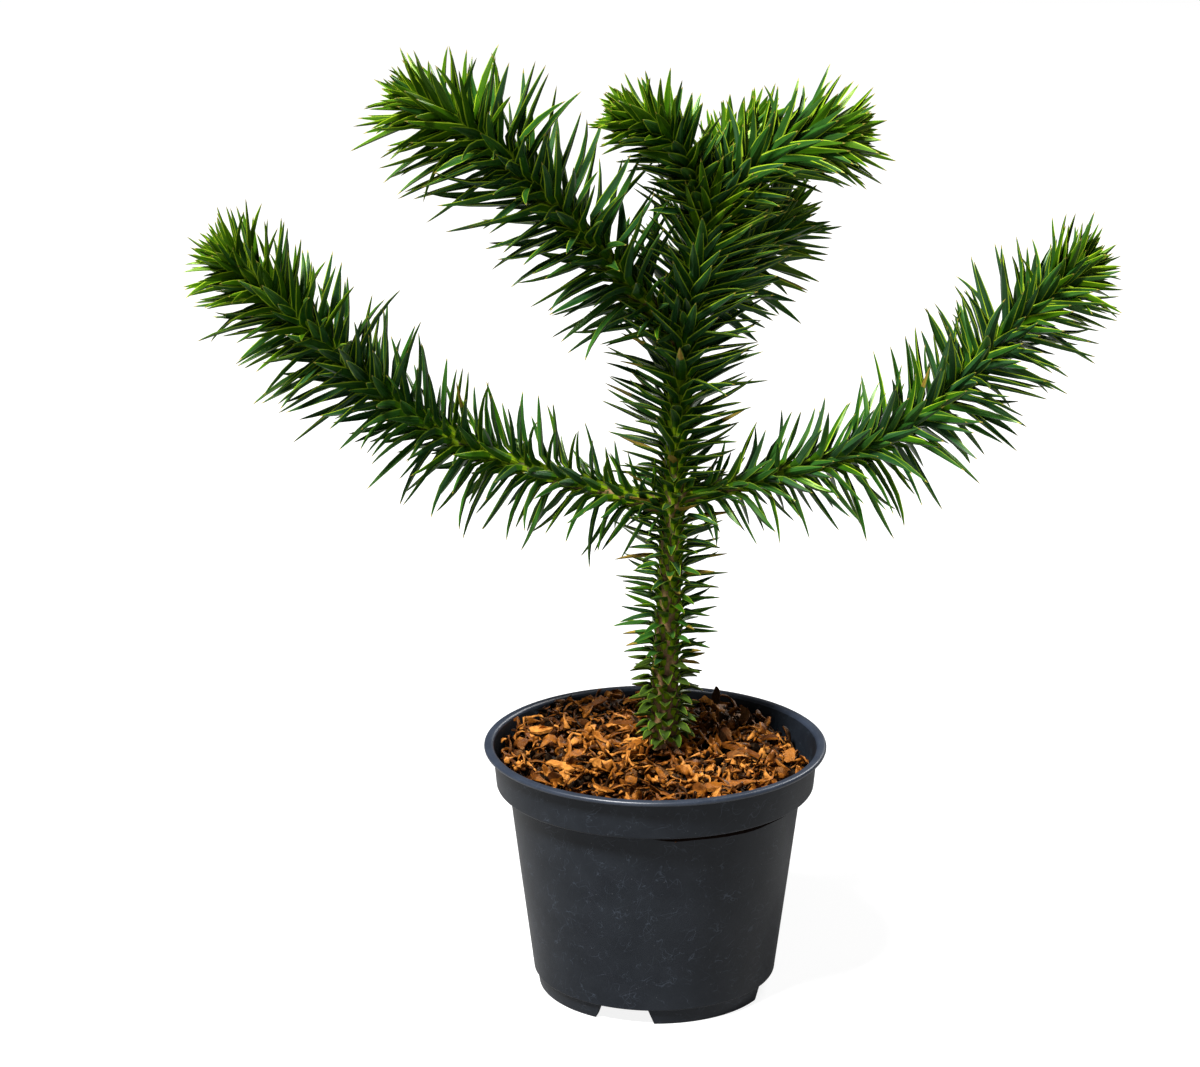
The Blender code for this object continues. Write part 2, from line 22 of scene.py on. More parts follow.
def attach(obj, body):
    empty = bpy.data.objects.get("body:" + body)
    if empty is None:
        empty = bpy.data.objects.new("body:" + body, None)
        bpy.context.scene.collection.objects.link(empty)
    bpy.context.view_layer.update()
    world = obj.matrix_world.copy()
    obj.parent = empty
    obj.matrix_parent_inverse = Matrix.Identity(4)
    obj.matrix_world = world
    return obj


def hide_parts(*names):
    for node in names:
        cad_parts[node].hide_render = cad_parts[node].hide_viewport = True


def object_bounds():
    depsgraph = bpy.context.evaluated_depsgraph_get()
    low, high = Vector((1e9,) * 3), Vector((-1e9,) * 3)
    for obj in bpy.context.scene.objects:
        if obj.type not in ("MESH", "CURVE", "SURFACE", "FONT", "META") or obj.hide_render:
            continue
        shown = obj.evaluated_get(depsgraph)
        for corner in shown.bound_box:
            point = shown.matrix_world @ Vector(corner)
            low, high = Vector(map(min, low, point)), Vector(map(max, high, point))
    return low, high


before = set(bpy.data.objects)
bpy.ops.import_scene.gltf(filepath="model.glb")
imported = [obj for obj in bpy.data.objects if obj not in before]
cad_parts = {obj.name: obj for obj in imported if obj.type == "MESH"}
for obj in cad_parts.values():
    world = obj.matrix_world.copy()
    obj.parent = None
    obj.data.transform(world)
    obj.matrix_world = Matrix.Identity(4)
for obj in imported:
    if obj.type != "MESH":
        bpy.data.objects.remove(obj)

SOLID_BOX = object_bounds()
MM = 0.001


def rounded(box):
    return [[round(value, 4) for value in place] for place in box]


print("solids:", len(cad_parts), "box:", rounded(SOLID_BOX))

# %% [markdown]
# ## The camera
#
# A long lens from well back keeps the pot's sides nearly parallel, as in a catalogue picture. It
# looks down by some 17 degrees, so that the mulch inside the rim shows.

# %% Camera
CAMERA_PLACE = (-0.02096, -1.36170, 0.59632)
CAMERA_TILT = math.radians(72.98)
CAMERA_LENS, CAMERA_SENSOR = 114.4, 36
CAMERA_REACH = 20

bpy.ops.object.camera_add(location=CAMERA_PLACE, rotation=(CAMERA_TILT, 0, 0))
camera = bpy.context.object
camera.name = "camera"
camera.data.lens = CAMERA_LENS
camera.data.sensor_width = CAMERA_SENSOR
camera.data.clip_end = CAMERA_REACH
bpy.context.scene.camera = camera
print("camera at", CAMERA_PLACE, "lens", CAMERA_LENS, "mm")

# %% [markdown]
# ## Floor and light
#
# The plant stands in a white sweep. To the camera the floor and the surround glow white, as a light
# table does, so that the shadow under the pot stays faint. To the plant both are much dimmer, or
# they would wash out the dark gaps between the leaves. A Light Path node tells the two apart. The
# lamp at the upper left gives the leaves their bright sides, a weak one in front opens the
# shadows, and one behind draws the edges.

# %% Floor, surround and lamps
FLOOR_SIZE = 12.0
FLOOR_SHADE = 0.25
GLOW_SEEN, GLOW_FELT = 0.87, 0.10
SURROUND_SEEN, SURROUND_FELT = 1.0, 0.07
LAMPS = {
    "key_lamp": {"place": (-0.72, -0.92, 1.9), "size": 0.42, "power": 142.0},
    "fill_lamp": {"place": (-0.3, -2.0, 0.5), "size": 0.9, "power": 5.5},
    "rim_lamp": {"place": (0.9, 1.3, 1.3), "size": 0.7, "power": 20.0},
}
LAMP_AIM = (0, 0, 0.2)


def soft_lamp(name, place, size, power):
    """A square lamp that looks at the middle of the plant."""
    bpy.ops.object.light_add(type="AREA", location=place)
    lamp = bpy.context.object
    lamp.name = name
    lamp.data.shape = "SQUARE"
    lamp.data.size = size
    lamp.data.energy = power
    aim = Vector(LAMP_AIM) - Vector(place)
    lamp.rotation_euler = aim.to_track_quat("-Z", "Y").to_euler()


def glow(tree, strength, seen, felt):
    """Give a strength socket one value for the camera and another for everything else."""
    path = tree.nodes.new("ShaderNodeLightPath")
    choice = tree.nodes.new("ShaderNodeMapRange")
    choice.inputs["To Min"].default_value = felt
    choice.inputs["To Max"].default_value = seen
    tree.links.new(path.outputs["Is Camera Ray"], choice.inputs["Value"])
    tree.links.new(choice.outputs["Result"], strength)


bpy.ops.mesh.primitive_plane_add(size=FLOOR_SIZE, location=(0, 0, 0))
floor = bpy.context.object
floor.name = "floor"
paper = bpy.data.materials.new("white_paper")
paper.use_nodes = True
paper_shader = paper.node_tree.nodes["Principled BSDF"]
paper_shader.inputs["Base Color"].default_value = (FLOOR_SHADE, FLOOR_SHADE, FLOOR_SHADE, 1)
paper_shader.inputs["Roughness"].default_value = 0.9
paper_shader.inputs["Specular IOR Level"].default_value = 0.1
paper_shader.inputs["Emission Color"].default_value = (1, 1, 1, 1)
glow(paper.node_tree, paper_shader.inputs["Emission Strength"], GLOW_SEEN, GLOW_FELT)
floor.data.materials.append(paper)

world = bpy.data.worlds.new("surround")
bpy.context.scene.world = world
world.use_nodes = True
sky = world.node_tree.nodes["Background"]
sky.inputs["Color"].default_value = (1, 1, 1, 1)
glow(world.node_tree, sky.inputs["Strength"], SURROUND_SEEN, SURROUND_FELT)
for name, settings in LAMPS.items():
    soft_lamp(name, **settings)
bpy.context.scene.view_settings.view_transform = "Standard"
print("floor", FLOOR_SIZE, "m wide, lamps:", list(LAMPS))

# %% [markdown]
# ## Helpers for modelling by operators
#
# An operator works on whatever is selected, so every step starts from a clean selection. The
# helpers here select objects and faces, extrude them, apply modifiers, and finish a piece: it
# rides on the plant's body, and it hides the solids that it stands for.

# %% Helpers
UPWARDS = 0.9


def deselect_all():
    for obj in list(bpy.context.selected_objects):
        obj.select_set(False)


def pick(obj):
    """Make this object the only selected one, and the active one."""
    deselect_all()
    obj.select_set(True)
    bpy.context.view_layer.objects.active = obj


def edit(obj, mode="FACE"):
    """Go into edit mode with nothing selected."""
    pick(obj)
    bpy.ops.object.mode_set(mode="EDIT")
    bpy.ops.mesh.select_mode(type=mode)
    bpy.ops.mesh.select_all(action="DESELECT")


def leave_edit():
    bpy.ops.object.mode_set(mode="OBJECT")


def select_faces(obj, wanted):
    """In edit mode, select just the faces for which wanted(face) is true."""
    mesh = bmesh.from_edit_mesh(obj.data)
    for face in mesh.faces:
        face.select = wanted(face)
    bmesh.update_edit_mesh(obj.data)


def extrude_to(step, scale, centre):
    """Extrude what is selected by a step, and resize its new end about a centre."""
    bpy.ops.mesh.extrude_region_move(TRANSFORM_OT_translate={"value": step})
    bpy.ops.transform.resize(value=scale, center_override=centre)


def apply_place(obj):
    pick(obj)
    bpy.ops.object.transform_apply(location=True, rotation=True, scale=True)


def apply_modifiers(obj):
    pick(obj)
    for modifier in list(obj.modifiers):
        bpy.ops.object.modifier_apply(modifier=modifier.name)


def smooth_by_angle(obj, degrees):
    pick(obj)
    bpy.ops.object.shade_smooth_by_angle(angle=math.radians(degrees))


def face_outwards(obj):
    """Merge doubles, then turn every face outwards."""
    edit(obj)
    bpy.ops.mesh.select_all(action="SELECT")
    bpy.ops.mesh.remove_doubles(threshold=1e-6)
    bpy.ops.mesh.normals_make_consistent(inside=False)
    leave_edit()


def remove(obj):
    bpy.data.objects.remove(obj)


def cut(obj, cutter):
    """Boolean difference, applied; the cutter is used up."""
    modifier = obj.modifiers.new("cut", "BOOLEAN")
    modifier.operation = "DIFFERENCE"
    modifier.solver = "EXACT"
    modifier.object = cutter
    apply_modifiers(obj)
    remove(cutter)


def set_materials(obj, *materials):
    obj.data.materials.clear()
    for material in materials:
        obj.data.materials.append(material)


def finish_piece(obj, nodes):
    """The piece rides on the plant and hides the solids it stands for."""
    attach(obj, "root")
    if nodes:
        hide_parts(*nodes)
    triangles = sum(len(face.vertices) - 2 for face in obj.data.polygons)
    print(obj.name, triangles, "triangles, for", nodes or "no solid")


def piece_from_arrays(name, points, faces, materials, slots):
    """A mesh object from arrays. slots gives each face its material."""
    mesh = bpy.data.meshes.new(name)
    mesh.from_pydata(points, [], faces)
    for material in materials:
        mesh.materials.append(material)
    mesh.polygons.foreach_set("material_index", np.asarray(slots, dtype=np.int32))
    mesh.update()
    obj = bpy.data.objects.new(name, mesh)
    bpy.context.collection.objects.link(obj)
    return obj


print("helpers ready")

# %% [markdown]
# ## Shared effects
#
# Three effects come back in several finishes: an uneven tone, a fine relief, and pale scratches.
# Each is a node group with named sockets, made once. They all read Object coordinates, which are
# the plant's own metres, so a pattern has the same size on every piece.

# %% Helpers for nodes
def new_group(name, inputs, outputs):
    """A shader group with sockets given as (name, kind, default)."""
    group = bpy.data.node_groups.new(name, "ShaderNodeTree")
    for socket_name, kind, default in inputs:
        socket = group.interface.new_socket(socket_name, in_out="INPUT", socket_type=kind)
        socket.default_value = default
    for socket_name, kind in outputs:
        group.interface.new_socket(socket_name, in_out="OUTPUT", socket_type=kind)
    return group, group.nodes.new("NodeGroupInput"), group.nodes.new("NodeGroupOutput")


def node(tree, kind, **values):
    """A node with some of its settings and unlinked inputs given by name."""
    made = tree.nodes.new(kind)
    for key, value in values.items():
        if hasattr(made, key):
            setattr(made, key, value)
        else:
            made.inputs[key.replace("_", " ")].default_value = value
    return made


def feed(tree, source, socket):
    """Set a socket to a constant, or link another node's socket to it."""
    if isinstance(source, (float, tuple)):
        socket.default_value = source
    else:
        tree.links.new(source, socket)


def mixed(tree, factor, first, second):
    """Mix two colours by a factor and return the resulting socket."""
    mixer = node(tree, "ShaderNodeMix", data_type="RGBA")
    for socket, source in zip((0, 6, 7), (factor, first, second)):
        feed(tree, source, mixer.inputs[socket])
    return mixer.outputs[2]


def product(tree, first, second, kind="ShaderNodeMath"):
    """Multiply two sockets, as numbers or, with ShaderNodeVectorMath, as vectors."""
    times = node(tree, kind, operation="MULTIPLY")
    tree.links.new(first, times.inputs[0])
    tree.links.new(second, times.inputs[1])
    return times.outputs[0]


def ranged(tree, value, low, high, to_low=0.0, to_high=1.0):
    """Map a value from one range to another, clamped."""
    mapper = node(tree, "ShaderNodeMapRange", clamp=True)
    for socket, number in zip((1, 2, 3, 4), (low, high, to_low, to_high)):
        mapper.inputs[socket].default_value = number
    tree.links.new(value, mapper.inputs[0])
    return mapper.outputs[0]


def noise_level(tree, place, scale, **values):
    """The level of a noise at a place. The scale is a number or a socket."""
    texture = node(tree, "ShaderNodeTexNoise", **values)
    tree.links.new(place, texture.inputs["Vector"])
    feed(tree, scale, texture.inputs["Scale"])
    return texture.outputs["Fac"]


def object_place(tree):
    return node(tree, "ShaderNodeTexCoord").outputs["Object"]


print("node helpers ready")

# %% Shared node groups
def make_tone_group():
    """Two colours mixed in soft patches."""
    group, start, end = new_group(
        "uneven_tone",
        [("Colour", "NodeSocketColor", (0.5, 0.5, 0.5, 1)),
         ("Patch Colour", "NodeSocketColor", (0.3, 0.3, 0.3, 1)),
         ("Patch Size", "NodeSocketFloat", 100.0), ("Amount", "NodeSocketFloat", 0.5)],
        [("Colour", "NodeSocketColor")])
    patches = noise_level(group, object_place(group), start.outputs["Patch Size"],
                          Detail=4.0, Roughness=0.6)
    share = product(group, ranged(group, patches, 0.35, 0.65), start.outputs["Amount"])
    colour = mixed(group, share, start.outputs["Colour"], start.outputs["Patch Colour"])
    group.links.new(colour, end.inputs["Colour"])
    return group


def make_relief_group():
    """The height of a fine grain, for a Bump node."""
    group, start, end = new_group(
        "fine_relief",
        [("Grain Size", "NodeSocketFloat", 900.0), ("Swell Size", "NodeSocketFloat", 60.0),
         ("Swell Amount", "NodeSocketFloat", 0.5)],
        [("Height", "NodeSocketFloat")])
    place = object_place(group)
    grain = noise_level(group, place, start.outputs["Grain Size"], Detail=3.0)
    swell = noise_level(group, place, start.outputs["Swell Size"], Detail=3.0)
    total = node(group, "ShaderNodeMath", operation="MULTIPLY_ADD")
    for socket, source in enumerate((swell, start.outputs["Swell Amount"], grain)):
        group.links.new(source, total.inputs[socket])
    group.links.new(total.outputs[0], end.inputs["Height"])
    return group


def make_scratch_group():
    """A mask of thin, broken, slanting lines: the thin middle level of a stretched noise."""
    group, start, end = new_group(
        "pale_scratches",
        [("Slant", "NodeSocketFloat", 0.3), ("Scale", "NodeSocketFloat", 25.0),
         ("Stretch", "NodeSocketFloat", 14.0), ("Thinness", "NodeSocketFloat", 0.006)],
        [("Mask", "NodeSocketFloat")])
    place = object_place(group)
    turn = node(group, "ShaderNodeVectorRotate", rotation_type="AXIS_ANGLE", Axis=(0.3, 1, 0.2))
    stretch = node(group, "ShaderNodeCombineXYZ", X=1.0, Y=1.0)
    group.links.new(place, turn.inputs["Vector"])
    group.links.new(start.outputs["Slant"], turn.inputs["Angle"])
    group.links.new(start.outputs["Stretch"], stretch.inputs["Z"])
    squeezed = product(group, turn.outputs[0], stretch.outputs[0], "ShaderNodeVectorMath")
    lines = noise_level(group, squeezed, start.outputs["Scale"], Detail=2.0)
    near_middle = node(group, "ShaderNodeMath", operation="COMPARE")
    for socket, source in enumerate((lines, 0.5, start.outputs["Thinness"])):
        feed(group, source, near_middle.inputs[socket])
    gate = ranged(group, noise_level(group, place, 190.0), 0.44, 0.62)
    group.links.new(product(group, near_middle.outputs[0], gate), end.inputs["Mask"])
    return group


TONE = make_tone_group()
RELIEF = make_relief_group()
SCRATCHES = make_scratch_group()
print("node groups:", [group.name for group in bpy.data.node_groups])

# %% [markdown]
# ## A finish is a small tree of nodes
#
# Every finish has a Principled shader with its own constants, an uneven tone for its base colour
# and a fine relief for its normal. A function builds that much. A finish that needs more adds it.

# %% Building a finish
def place_group(tree, group, **values):
    """Put a node group in a material with its own values."""
    placed = tree.nodes.new("ShaderNodeGroup")
    placed.node_tree = group
    for key, value in values.items():
        placed.inputs[key.replace("_", " ")].default_value = value
    return placed


def four(colour):
    """Red, green and blue with a full alpha."""
    return tuple(colour) + (1.0,)


def shader_of(material):
    return material.node_tree.nodes["Principled BSDF"]


def fed_by(socket):
    """The socket that is linked to this one."""
    return socket.links[0].from_socket


def new_finish(name, colour, patch, size, amount, roughness, specular, grain, bump):
    """A material with an uneven tone and a fine relief.

    grain is its fine size, swell size and swell amount; bump is its strength and distance.
    """
    material = bpy.data.materials.new(name)
    material.use_nodes = True
    tree, shader = material.node_tree, shader_of(material)
    shader.inputs["Roughness"].default_value = roughness
    shader.inputs["Specular IOR Level"].default_value = specular
    tone = place_group(tree, TONE, Colour=four(colour), Patch_Colour=four(patch), Patch_Size=size,
                       Amount=amount)
    tree.links.new(tone.outputs["Colour"], shader.inputs["Base Color"])
    relief = place_group(tree, RELIEF, Grain_Size=grain[0], Swell_Size=grain[1],
                         Swell_Amount=grain[2])
    bumps = node(tree, "ShaderNodeBump", Strength=bump[0], Distance=bump[1])
    tree.links.new(relief.outputs["Height"], bumps.inputs["Height"])
    tree.links.new(bumps.outputs["Normal"], shader.inputs["Normal"])
    return material


print("each finish will use the groups", TONE.name, "and", RELIEF.name)

# %% [markdown]
# ## The pot
#
# A nursery pot is a thin cup of black plastic. Its collar is wider than its body, its lip is rolled
# outwards, and it stands on a ring of feet with gaps for water. It could be a lathe job with the
# Screw modifier. Here it is drawn up from its floor as a potter would: a disc is extruded ring by
# ring, each ring moved and resized to the next place on the profile. The gaps and drain holes are
# cut last.

# %% Pot profile
POT_HEIGHT = 0.097
POT_RIM_RADIUS = 0.065
POT_WALL = 0.0012
POT_BAND_FOOT = 0.0812
POT_BAND_RADIUS = 0.0604
POT_BODY_FOOT_RADIUS = 0.0464
POT_BODY_DRAFT = 0.126
POT_FOOT_HEIGHT = 0.0068
POT_FOOT_RADIUS = 0.0444
POT_FOOT_RING = 0.0042
POT_FLOOR_TOP = 0.0092
POT_FLOOR_THICK = 0.0016
POT_BAND_TOP = POT_BAND_RADIUS + 0.0012
POT_EDGE_ROUND, POT_BAND_ROUND = 0.0006, 0.0010
POT_LIP_ROUND, POT_INNER_ROUND = 0.0010, 0.0014
POT_SIDES = 160


def body_radius(height):
    return POT_BODY_FOOT_RADIUS + POT_BODY_DRAFT * (height - POT_FOOT_HEIGHT)


def corner(centre, radius, first, last, steps):
    """Points of an arc in the profile's plane, from angle first to last in degrees."""
    turns = [math.radians(first + (last - first) * k / steps) for k in range(steps + 1)]
    return [(centre[0] + radius * math.cos(t), centre[1] + radius * math.sin(t)) for t in turns]


def pot_profile():
    """(radius, height) from the raised floor's underside, out, up and over the lip, and inside."""
    ring_inner = POT_FOOT_RADIUS - POT_FOOT_RING
    points = [(ring_inner - 0.0010, POT_FLOOR_TOP - POT_FLOOR_THICK)]
    points += [(ring_inner - 0.0002, 0.0006), (ring_inner + 0.0004, 0.0)]
    foot_corner = (POT_FOOT_RADIUS - POT_EDGE_ROUND, POT_EDGE_ROUND)
    points += corner(foot_corner, POT_EDGE_ROUND, -90, 0, 3)
    points += [(POT_FOOT_RADIUS + 0.0007, POT_FOOT_HEIGHT - 0.0010)]
    body_corner = (POT_BODY_FOOT_RADIUS - POT_EDGE_ROUND, POT_FOOT_HEIGHT)
    points += corner(body_corner, POT_EDGE_ROUND, -60, 10, 4)
    points += [(body_radius(0.030), 0.030), (body_radius(0.055), 0.055)]
    points += [(body_radius(POT_BAND_FOOT - 0.0022), POT_BAND_FOOT - 0.0022)]
    band_corner = (POT_BAND_RADIUS - POT_BAND_ROUND, POT_BAND_FOOT + 0.0004)
    points += corner(band_corner, POT_BAND_ROUND, -100, 0, 5)
    points += [(POT_BAND_TOP, POT_HEIGHT - 0.0030)]
    points += [(POT_BAND_TOP + 0.0008, POT_HEIGHT - 0.0023)]
    lip_corner = (POT_RIM_RADIUS - POT_LIP_ROUND, POT_HEIGHT - POT_LIP_ROUND)
    points += corner(lip_corner, POT_LIP_ROUND, -75, 90, 8)
    points += [(POT_BAND_TOP + 0.0010, POT_HEIGHT)]
    inner_corner = (POT_BAND_TOP + 0.0010, POT_HEIGHT - POT_INNER_ROUND)
    points += corner(inner_corner, POT_INNER_ROUND, 100, 170, 4)
    points += [(POT_BAND_TOP - POT_WALL, POT_HEIGHT - 0.0040)]
    points += [(POT_BAND_RADIUS - POT_WALL, POT_BAND_FOOT + 0.0018)]
    points += [(body_radius(POT_BAND_FOOT) - POT_WALL, POT_BAND_FOOT)]
    points += [(body_radius(POT_FLOOR_TOP) - POT_WALL - 0.0006, POT_FLOOR_TOP)]
    return points


print("pot profile:", len(pot_profile()), "points")

# %% Pot drawn up from a disc
def drawn_up(name, profile, sides, first_turn):
    """A disc extruded along a profile of (radius, height)."""
    (radius, height), rest = profile[0], profile[1:]
    deselect_all()
    bpy.ops.mesh.primitive_circle_add(vertices=sides, radius=radius, fill_type="NGON",
                                      location=(0, 0, height), rotation=(0, 0, first_turn))
    obj = bpy.context.object
    obj.name = name
    apply_place(obj)
    edit(obj)
    bpy.ops.mesh.select_all(action="SELECT")
    for next_radius, next_height in rest:
        scale = next_radius / radius
        extrude_to((0, 0, next_height - height), (scale, scale, 1), (0, 0, next_height))
        radius, height = next_radius, next_height
    leave_edit()
    face_outwards(obj)
    return obj


FOOT_GAP_FIRST = math.radians(-90 - 15.7)
pot = drawn_up("nursery_pot", pot_profile(), POT_SIDES, FOOT_GAP_FIRST)
print("pot:", len(pot.data.polygons), "faces")

# %% [markdown]
# The foot ring has four gaps that let the water out, wider at the ground than at their roof, and
# the floor has five holes. Each gap is a wedge made from a cube, and the wedge's top is narrowed
# in edit mode before it is cut out.

# %% Foot gaps and drain holes
FOOT_GAPS = 4
FOOT_GAP_WIDTH = math.radians(30)
FOOT_GAP_ROOF = POT_FOOT_HEIGHT - 0.0006
FOOT_GAP_INWARDS, FOOT_GAP_OUTWARDS, FOOT_GAP_BOTTOM = 0.002, 0.004, -0.002
GROUND_SHARE, ROOF_SHARE = 1.06, 0.76  # of the gap's width
DRAIN_HOLE_RADIUS, DRAIN_HOLE_CIRCLE, DRAIN_HOLE_SIDES = 0.0055, 0.027, 24
PLUG_DEPTH, PLUG_HEIGHT = 0.02, 0.012
POT_SMOOTHING = 32


def gap_wedge(turn):
    """A block through the foot ring at this angle, narrower at its top."""
    inner = POT_FOOT_RADIUS - POT_FOOT_RING - FOOT_GAP_INWARDS
    outer = POT_FOOT_RADIUS + FOOT_GAP_OUTWARDS
    middle = (inner + outer) / 2
    width = 2 * POT_FOOT_RADIUS * math.sin(FOOT_GAP_WIDTH / 2)
    half_way_up = (FOOT_GAP_BOTTOM + FOOT_GAP_ROOF) / 2
    bpy.ops.mesh.primitive_cube_add(size=1, location=(middle, 0, half_way_up))
    wedge = bpy.context.object
    wedge.scale = (outer - inner, width * GROUND_SHARE, FOOT_GAP_ROOF - FOOT_GAP_BOTTOM)
    apply_place(wedge)
    edit(wedge)
    select_faces(wedge, lambda face: face.normal.z > UPWARDS)
    bpy.ops.transform.resize(value=(1, ROOF_SHARE, 1), center_override=(middle, 0, FOOT_GAP_ROOF))
    leave_edit()
    wedge.rotation_euler.z = turn
    apply_place(wedge)
    return wedge


def hole_plug(x, y):
    bpy.ops.mesh.primitive_cylinder_add(vertices=DRAIN_HOLE_SIDES, radius=DRAIN_HOLE_RADIUS,
                                        depth=PLUG_DEPTH, location=(x, y, PLUG_HEIGHT))
    return bpy.context.object


cut(pot, hole_plug(0, 0))
for k in range(FOOT_GAPS):
    gap = FOOT_GAP_FIRST + k * 2 * math.pi / FOOT_GAPS
    hole = gap + math.pi / FOOT_GAPS
    cut(pot, gap_wedge(gap))
    cut(pot, hole_plug(DRAIN_HOLE_CIRCLE * math.cos(hole), DRAIN_HOLE_CIRCLE * math.sin(hole)))
smooth_by_angle(pot, POT_SMOOTHING)
print("pot with gaps and holes:", len(pot.data.polygons), "faces")

# %% [markdown]
# Moulded black plastic is never one even black: it has a faint grain that blunts its gloss, soft
# cloudy wear, hundreds of hair-thin scratches from stacking, and a little dust. The lip's top is
# glossier, and it is painted paler and bluer than the rest: a painted sheen.

# %% Pot finishes
POT_SCRATCHES = (  # slant, thinness and scale of each set
    (0.45, 0.0045, 60.0), (2.2, 0.0040, 75.0), (1.3, 0.0040, 52.0))
SCRATCH_COLOUR = (0.040, 0.050, 0.066, 1)
DUST_COLOUR = (0.13, 0.14, 0.15, 1)
# how far down from the top the lip's painted sheen reaches
PAINTED_SHEEN_DEPTH = 0.0016


def make_pot_finish(name, colour, patch, roughness, specular):
    """Black plastic with three sets of scratches and specks of dust."""
    plastic = new_finish(name, colour, patch, 70.0, 0.8, roughness, specular,
                         (2600.0, 90.0, 0.5), (0.10, 0.0004))
    tree, shader = plastic.node_tree, shader_of(plastic)
    colour = fed_by(shader.inputs["Base Color"])
    for slant, thin, scale in POT_SCRATCHES:
        lines = place_group(tree, SCRATCHES, Slant=slant, Thinness=thin, Scale=scale, Stretch=3.0)
        faint = ranged(tree, lines.outputs["Mask"], 0.0, 1.0, 0.0, 0.45)
        colour = mixed(tree, faint, colour, SCRATCH_COLOUR)
    specks = node(tree, "ShaderNodeTexVoronoi", Scale=300.0)
    tree.links.new(object_place(tree), specks.inputs["Vector"])
    dust = ranged(tree, specks.outputs["Distance"], 0.04, 0.075, 0.25, 0.0)
    colour = mixed(tree, dust, colour, DUST_COLOUR)
    tree.links.new(colour, shader.inputs["Base Color"])
    return plastic


POT_BODY = make_pot_finish("black_pot_plastic", (0.0052, 0.0070, 0.0101),
                           (0.0098, 0.0124, 0.0166), 0.44, 0.20)
# The lip's top faces get a paler, bluer and glossier finish: the paler colour is a painted sheen.
POT_LIP_PAINTED_SHEEN = make_pot_finish("pot_lip_painted_sheen", (0.014, 0.019, 0.030),
                          (0.023, 0.030, 0.045), 0.36, 0.40)
set_materials(pot, POT_BODY, POT_LIP_PAINTED_SHEEN)
# faces at the top of the lip take the painted-sheen finish
for face in pot.data.polygons:
    face.material_index = int(face.center.z > POT_HEIGHT - PAINTED_SHEEN_DEPTH)
finish_piece(pot, ["pot"])

# %% [markdown]
# ## The bark mulch
#
# The mix is shredded bark: curly fibres, splinters, flat flakes and a few big chips, loosely
# heaped, with black gaps between them. A bumpy disc with a bark picture on it would have no gaps.
# So 45 shreds are modelled one by one, each drawn out from a small square, twisted and bent, and
# then some 1,800 copies are laid on a near-black bed: dark mix, painted darker still as the shade
# in the gaps. The bed comes first: the top of a solid drawn up like the pot is divided into rings,
# and its points are lifted by a noise.

# %% Mulch bed
MIX_GAP = POT_WALL + 0.0005
MIX_RADIUS = POT_BAND_RADIUS - MIX_GAP
MIX_BOTTOM = POT_FLOOR_TOP + 0.0004
BED_EDGE = 0.0856
BED_CROWN = 0.0042
BED_LUMP, BED_LUMP_SCALE = 0.0011, 70
BED_SIDES = 96
BED_RINGS, BED_RING_WIDTH = 23, 0.0024
HEAP_LEAN, HEAP_LEAN_WAY = 0.0066, (-0.5, 0.85)
BED_SMOOTHING = 50
HAIR = 0.0001


def bed_height(x, y):
    """Height of the bed at x, y: domed, higher at the back left, and lumpy."""
    share = (x * x + y * y) / MIX_RADIUS ** 2
    lump = noise.noise(Vector((x * BED_LUMP_SCALE, y * BED_LUMP_SCALE, 3.0))) * BED_LUMP
    lean = HEAP_LEAN * (HEAP_LEAN_WAY[0] * x + HEAP_LEAN_WAY[1] * y) / MIX_RADIUS
    return BED_EDGE + BED_CROWN * (1 - share) + lump + lean


def mix_side():
    """(radius, height) up the mix's side, inside the pot's wall."""
    return [(body_radius(MIX_BOTTOM) - MIX_GAP - 0.0008, MIX_BOTTOM),
            (body_radius(0.045) - MIX_GAP, 0.045),
            (body_radius(POT_BAND_FOOT) - MIX_GAP - 0.0003, POT_BAND_FOOT + 0.0002),
            (MIX_RADIUS - 0.0006, POT_BAND_FOOT + 0.0026), (MIX_RADIUS, BED_EDGE)]


bed = drawn_up("mulch_bed", mix_side(), BED_SIDES, 0.0)
edit(bed)
select_faces(bed, lambda face: face.normal.z > UPWARDS and len(face.verts) > 4)
for _ in range(BED_RINGS):
    bpy.ops.mesh.inset(thickness=BED_RING_WIDTH)
leave_edit()
for vertex in bed.data.vertices:
    x, y, z = vertex.co
    if z > BED_EDGE - HAIR:
        vertex.co.z = bed_height(x, y)
smooth_by_angle(bed, BED_SMOOTHING)
print("mulch bed:", len(bed.data.polygons), "faces")

# %% Mulch finishes
BARK_GLOSS = (1.0, 0.60, 0.26, 1)


def bark_finish(name, colour, patch, roughness=0.38, specular=0.32):
    """Moist bark: its gloss takes the colour of the wood."""
    material = new_finish(name, colour, patch, 500.0, 0.85, roughness, specular,
                          (3000.0, 900.0, 0.8), (0.55, 0.0004))
    shader_of(material).inputs["Specular Tint"].default_value = BARK_GLOSS
    return material


# The bed is nearly black: a dark mix, made darker as painted shade for the gaps between shreds.
BED_SOIL_AND_SHADE = bark_finish("mulch_soil_painted_shade", (0.004, 0.002, 0.002), (0.002, 0.001, 0.001), 0.8, 0.05)
BARK_TINTS = [
    bark_finish("bark_gold", (0.25, 0.082, 0.009), (0.075, 0.020, 0.003)),
    bark_finish("bark_orange", (0.122, 0.036, 0.005), (0.034, 0.010, 0.002)),
    bark_finish("bark_rust", (0.060, 0.018, 0.004), (0.017, 0.005, 0.002)),
    bark_finish("bark_tan", (0.50, 0.200, 0.038), (0.20, 0.068, 0.010)),
    bark_finish("bark_umber", (0.020, 0.008, 0.003), (0.005, 0.002, 0.001), specular=0.16),
    # near black: only low shreds take it, as painted shade
    bark_finish("bark_dark_painted_shade", (0.005, 0.003, 0.002), (0.002, 0.001, 0.001), specular=0.06),
]
